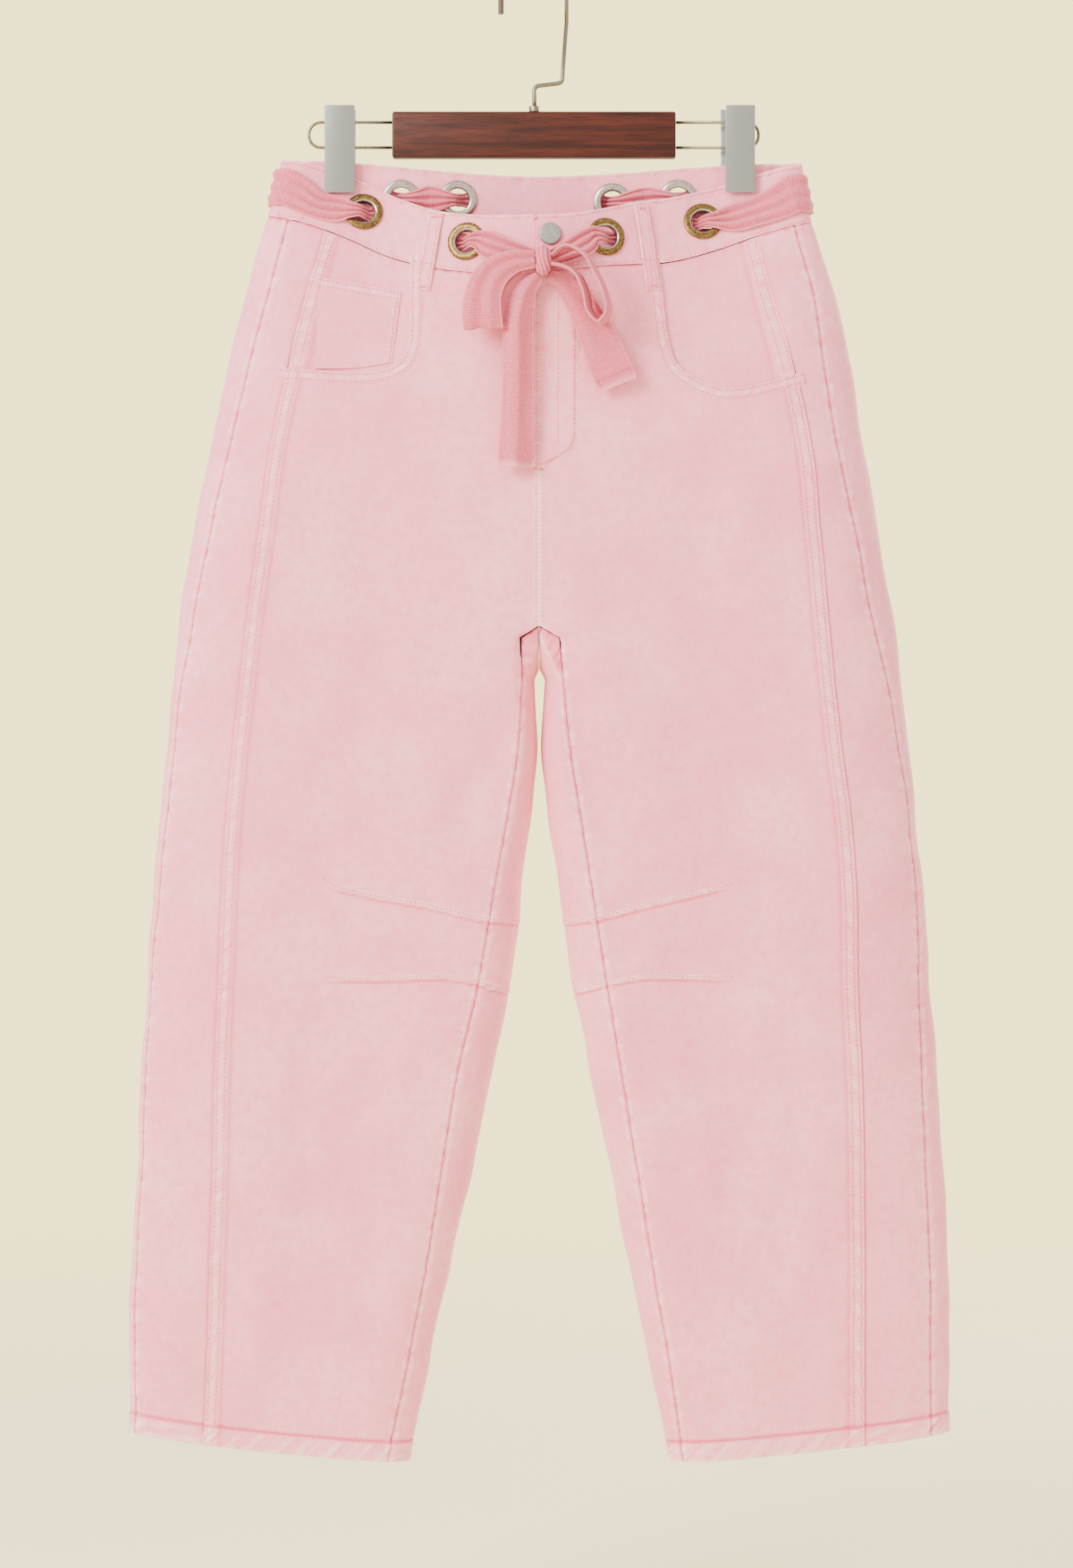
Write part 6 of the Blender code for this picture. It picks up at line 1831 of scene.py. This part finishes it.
# The knot is the tape wrapped round itself: its wraps lie as slanting ridges on a small core.
deselect()
bpy.ops.mesh.primitive_uv_sphere_add(segments=64, ring_count=40, radius=1)
knot = bpy.context.object
knot.name = knot.data.name = "bow_knot_wraps"
knot_light_and_shade = knot.data.attributes.new("wear_and_shade", "FLOAT", "POINT")
for vertex in knot.data.vertices:
    x, y, z = vertex.co
    slant = x * 0.95 + 0.28 * z + 0.12 * math.sin(3 * z + 1)
    ridge = math.cos(2 * math.pi * 2.1 * slant)
    grow = 0.94 + 0.055 * ridge * (1 - abs(z) ** 3)
    # Painted light and shade on the wraps: paler on each ridge, darker in the grooves between.
    knot_light_and_shade.data[vertex.index].value = 0.55 * ridge
    vertex.co = Vector((x * KNOT_RADII.x, y * KNOT_RADII.y, z * KNOT_RADII.z)) * grow * MM
    vertex.co += (KNOT_CENTRE + Vector(TO_GARMENT)) * MM
for corner in knot.data.uv_layers[0].data:
    corner.uv = (corner.uv.x * 48 * MM, corner.uv.y * 40 * MM)  # the tape's flat size round the knot
smooth(knot, 60)
dress(knot, tape)
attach(knot, "root")
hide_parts("bow_knot")

# %% [markdown]
# ## The hanger and the button
#
# The hanger is a varnished wooden bar with wire loops, two steel clips and a wire hook, and the
# button is cast pewter. Their solids have the right shapes, so each is a merged copy of its solid.
# The clips, spring blocks, collar and button have their edges eased, and the round wires are shaded smooth.

# %% Hardware
def refined(node, name, material, ease=0.0, angle=35):
    """A merged copy of a node, with its edges eased by some mm and its rounds shaded smooth."""
    source = bpy.data.objects[node]
    piece = source.copy()
    piece.data = source.data.copy()
    piece.animation_data_clear()
    piece.name = piece.data.name = name
    bpy.context.scene.collection.objects.link(piece)
    piece.hide_render = piece.hide_viewport = False
    activate(piece)
    bpy.ops.object.mode_set(mode="EDIT")
    bpy.ops.mesh.select_all(action="SELECT")
    bpy.ops.mesh.remove_doubles(threshold=0.005 * MM)
    bpy.ops.mesh.dissolve_limited(angle_limit=math.radians(1))
    bpy.ops.object.mode_set(mode="OBJECT")
    if ease:
        eased = piece.modifiers.new("ease", "BEVEL")
        eased.width = ease * MM
        eased.segments = 3
        eased.limit_method = "ANGLE"
        eased.angle_limit = math.radians(30)
    apply_modifiers(piece)
    smooth(piece, angle)
    dress(piece, material)
    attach(piece, "root")
    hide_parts(node)


refined("hanger_bar", "wooden_bar", wood, angle=50)
refined("hook", "hook_wire", wire, angle=70)
refined("hook_tip", "hook_sleeve", sleeve, angle=70)
refined("hook_collar", "collar_nut", wire, ease=0.3)
for half in ("right", "left"):
    refined(f"hanger_frame_{half}", f"wire_loop_{half}", wire, angle=70)
    refined(f"clip_{half}_front", f"clip_jaw_{half}_front", steel, ease=0.35)
    refined(f"clip_{half}_back", f"clip_jaw_{half}_back", steel, ease=0.35)
    refined(f"clip_{half}_spring", f"clip_block_{half}", spring, ease=0.5)
refined("button", "waist_button", pewter, ease=0.35)
print("hardware done")

# %% [markdown]
# ## Topstitching
#
# One stitch is a short ellipsoid of thread. It is modelled once and copied along every sewn row, on
# the outside of the finished cloth, which a search tree finds. The rows follow the same drafted
# lines as the ridges, so thread and puckers lie together.

# %% Thread
STITCH_PITCH = 3.4
STITCH = (2.7, 0.85, 0.6)  # its length, width and height


def shell_tree(pieces):
    """A search tree over all the faces of the pieces."""
    corners, faces, start = [], [], 0
    for piece in pieces:
        mesh = piece.data
        co = np.empty(len(mesh.vertices) * 3)
        mesh.vertices.foreach_get("co", co)
        corners.append(co.reshape(-1, 3))
        faces += [[start + v for v in polygon.vertices] for polygon in mesh.polygons]
        start += len(mesh.vertices)
    return BVHTree.FromPolygons(np.concatenate(corners).tolist(), faces)


cuts = [*PANELS.values(), *BANDS.values(), *POCKETS.values(), *LOOPS.values(), coin_pocket, fly]
cloth_tree = shell_tree([cut[0] for cut in cuts])
deselect()
bpy.ops.mesh.primitive_uv_sphere_add(segments=6, ring_count=4, radius=0.5)
one_stitch = bpy.context.object
stitch_points = np.array([v.co[:] for v in one_stitch.data.vertices])
stitch_faces = [list(polygon.vertices) for polygon in one_stitch.data.polygons]
bpy.data.objects.remove(one_stitch, do_unlink=True)
SEWN_ROWS = {"front": [], "back": []}


def sew(face, points, out, pitch=STITCH_PITCH, size=STITCH):
    """Lays stitches along a line of points in mm. out is the way from the cloth to the open air."""
    points = np.asarray(points, float)
    out = np.broadcast_to(np.asarray(out, float), points.shape)
    length = running_length(points)
    at = np.arange(pitch / 2, length[-1], pitch)
    for middle in at:
        ends = []
        for place in (middle - 0.4 * size[0], middle, middle + 0.4 * size[0]):
            spot = Vector([np.interp(place, length, points[:, k]) for k in range(3)])
            away = Vector([np.interp(place, length, out[:, k]) for k in range(3)]).normalized()
            found = cloth_tree.find_nearest((spot + away * 3.0) * MM)
            ends.append((found[0] / MM, found[1], away))
        run = ends[2][0] - ends[0][0]
        if not 0.4 * size[0] < run.length < 1.6 * size[0] or ends[1][1].dot(ends[1][2]) < 0.1:
            continue
        run.normalize()
        up = (ends[1][1] - run * ends[1][1].dot(run)).normalized()
        side = up.cross(run)
        SEWN_ROWS[face].append((ends[1][0] + up * 0.1, run * size[0], side * size[1], up * size[2]))


def on_face(face, x, drop):
    """Points of a row of stitches at signed distances x and drops, and the ways out of the cloth."""
    x, drop = np.broadcast_arrays(np.asarray(x, float), np.asarray(drop, float))
    return points_on(face, x, drop) + TO_GARMENT, normals_on(face, x, drop)


def leg_line(side, name, inset, start, end):
    """A line beside a lengthwise seam, from one level to another."""
    line = []
    for level in np.linspace(start, end, 260):
        x = np.array([float(section_value(side, name, level)) - HALF_GAP - inset])
        line.append(face_points(side, "front", x, level)[0])
    return mirrored(np.array(line), side) + TO_GARMENT


# %% Sew every row
for half in SIGN:
    for inset in FELL_ROWS:
        sew("front", leg_line(half, "front_seam", inset, BAND_SEAM + 2, HEM_STITCH - 1), (0, -1, 0))
    edge = np.array(scoop_edge(half, spans=10))
    for inset in SCOOP_ROWS:
        place = edge + into_panel(edge, half) * inset
        sew("front", *on_face("front", place[:, 0], -place[:, 1]))
    loop, _ = section_loop(half, HEM_STITCH)
    turn = np.gradient(loop[:, :2], axis=0)
    away = np.stack([turn[:, 1], -turn[:, 0], np.zeros(len(turn))], axis=1)
    away *= np.sign(-away[len(away) // 5, 1])
    behind = away[:, 1] > 0
    for face, keep in (("front", ~behind), ("back", behind)):
        sew(face, mirrored(loop[keep], half) + TO_GARMENT, mirrored(away[keep], half))
    sew("front", *on_face("front", SIGN[half] * 2.4, np.linspace(FLY_END + 4, CROTCH - 3, 90)))
for line in DARTS:
    line = np.array(line, float)
    along = running_length(line)
    at = np.linspace(0, along[-1] - 6, 60)
    sew("front", *on_face("front", np.interp(at, along, line[:, 0]), np.interp(at, along, line[:, 1]) - 3.2))
fly_drop = np.linspace(240, FLY_END - 0.5, 90)
sew("front", *on_face("front", FLY_EDGE + fly_reach(fly_drop) - FLY_ROW, fly_drop))
sew("front", *on_face("front", 14.0, np.linspace(240, 366, 60)))
sew("front", *on_face("front", FLY_EDGE + FLY_EDGE_ROW, np.linspace(240, FLY_END, 60)))
coin_t = np.linspace(0.01, 0.99, 50)
for lower in COIN_ROWS:
    x = COIN_OUTER + 2 + (COIN_INNER - COIN_OUTER - 2) * coin_t
    sew("front", *on_face("front", -x, COIN_TOP + COIN_SLOPE * coin_t + lower))
sew("front", *on_face("front", -(COIN_INNER + COIN_LEAN * coin_t + COIN_SIDE_ROW),
                      COIN_TOP + COIN_SLOPE + 54 * coin_t))
for parts in BAND_PARTS.values():
    for side, face, *_ in parts:
        for level in (BAND_TOP + BAND_ROW, BAND_SEAM - SEAM_GAP - BAND_ROW):
            x = band_across(side, level)
            x[0] = 0.5
            line = mirrored(face_points(side, face, x, level), side) + TO_GARMENT
            sew(face, line, (0, -1 if face == "front" else 1, 0))
TACK = {"pitch": 0.85, "size": (0.8, 2.4, 0.8)}  # close, wide stitches across the end of a loop
for face, top, bottom, stand_off in BELT_LOOPS.values():
    top, lean = np.array(top), np.subtract(bottom, top)
    t = np.linspace(0.02, 0.98, 40)
    for inset in (-3.6, 3.6):
        base, out = on_face(face, top[0] + lean[0] * t + inset, top[1] + lean[1] * t)
        lift = 2 + loop_arch(stand_off, t)
        sew(face, base + out * lift[:, None], out, pitch=2.8, size=(2.2, 0.75, 0.5))
    for share in (0.05, 0.95):
        x, drop = top + lean * share
        base, out = on_face(face, x + np.linspace(-4.6, 4.6, 12), drop)
        sew(face, base + out * 2, out, **TACK)
for sign in (-1, 1):
    sew("back", *on_face("back", sign * 3.4, np.linspace(240, CROTCH - 12, 120)))
sew("front", *on_face("front", np.linspace(-4, 4, 12), FLY_END + 1), pitch=0.8, size=(0.8, 2.6, 0.9))

for face, stitches in SEWN_ROWS.items():
    count = len(stitch_points)
    corners = np.concatenate([np.array(centre)[None] + stitch_points @ np.array(axes)
                              for centre, *axes in stitches]) * MM
    faces = [[k * count + v for v in polygon] for k in range(len(stitches)) for polygon in stitch_faces]
    mesh = bpy.data.meshes.new(f"topstitching_{face}")
    mesh.from_pydata(corners.tolist(), [], faces)
    rows_of_thread = bpy.data.objects.new(f"topstitching_{face}", mesh)
    bpy.context.scene.collection.objects.link(rows_of_thread)
    rows_of_thread.data.materials.append(thread)
    activate(rows_of_thread)
    bpy.ops.object.shade_smooth()
    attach(rows_of_thread, "root")
    print("stitches", face, len(stitches))
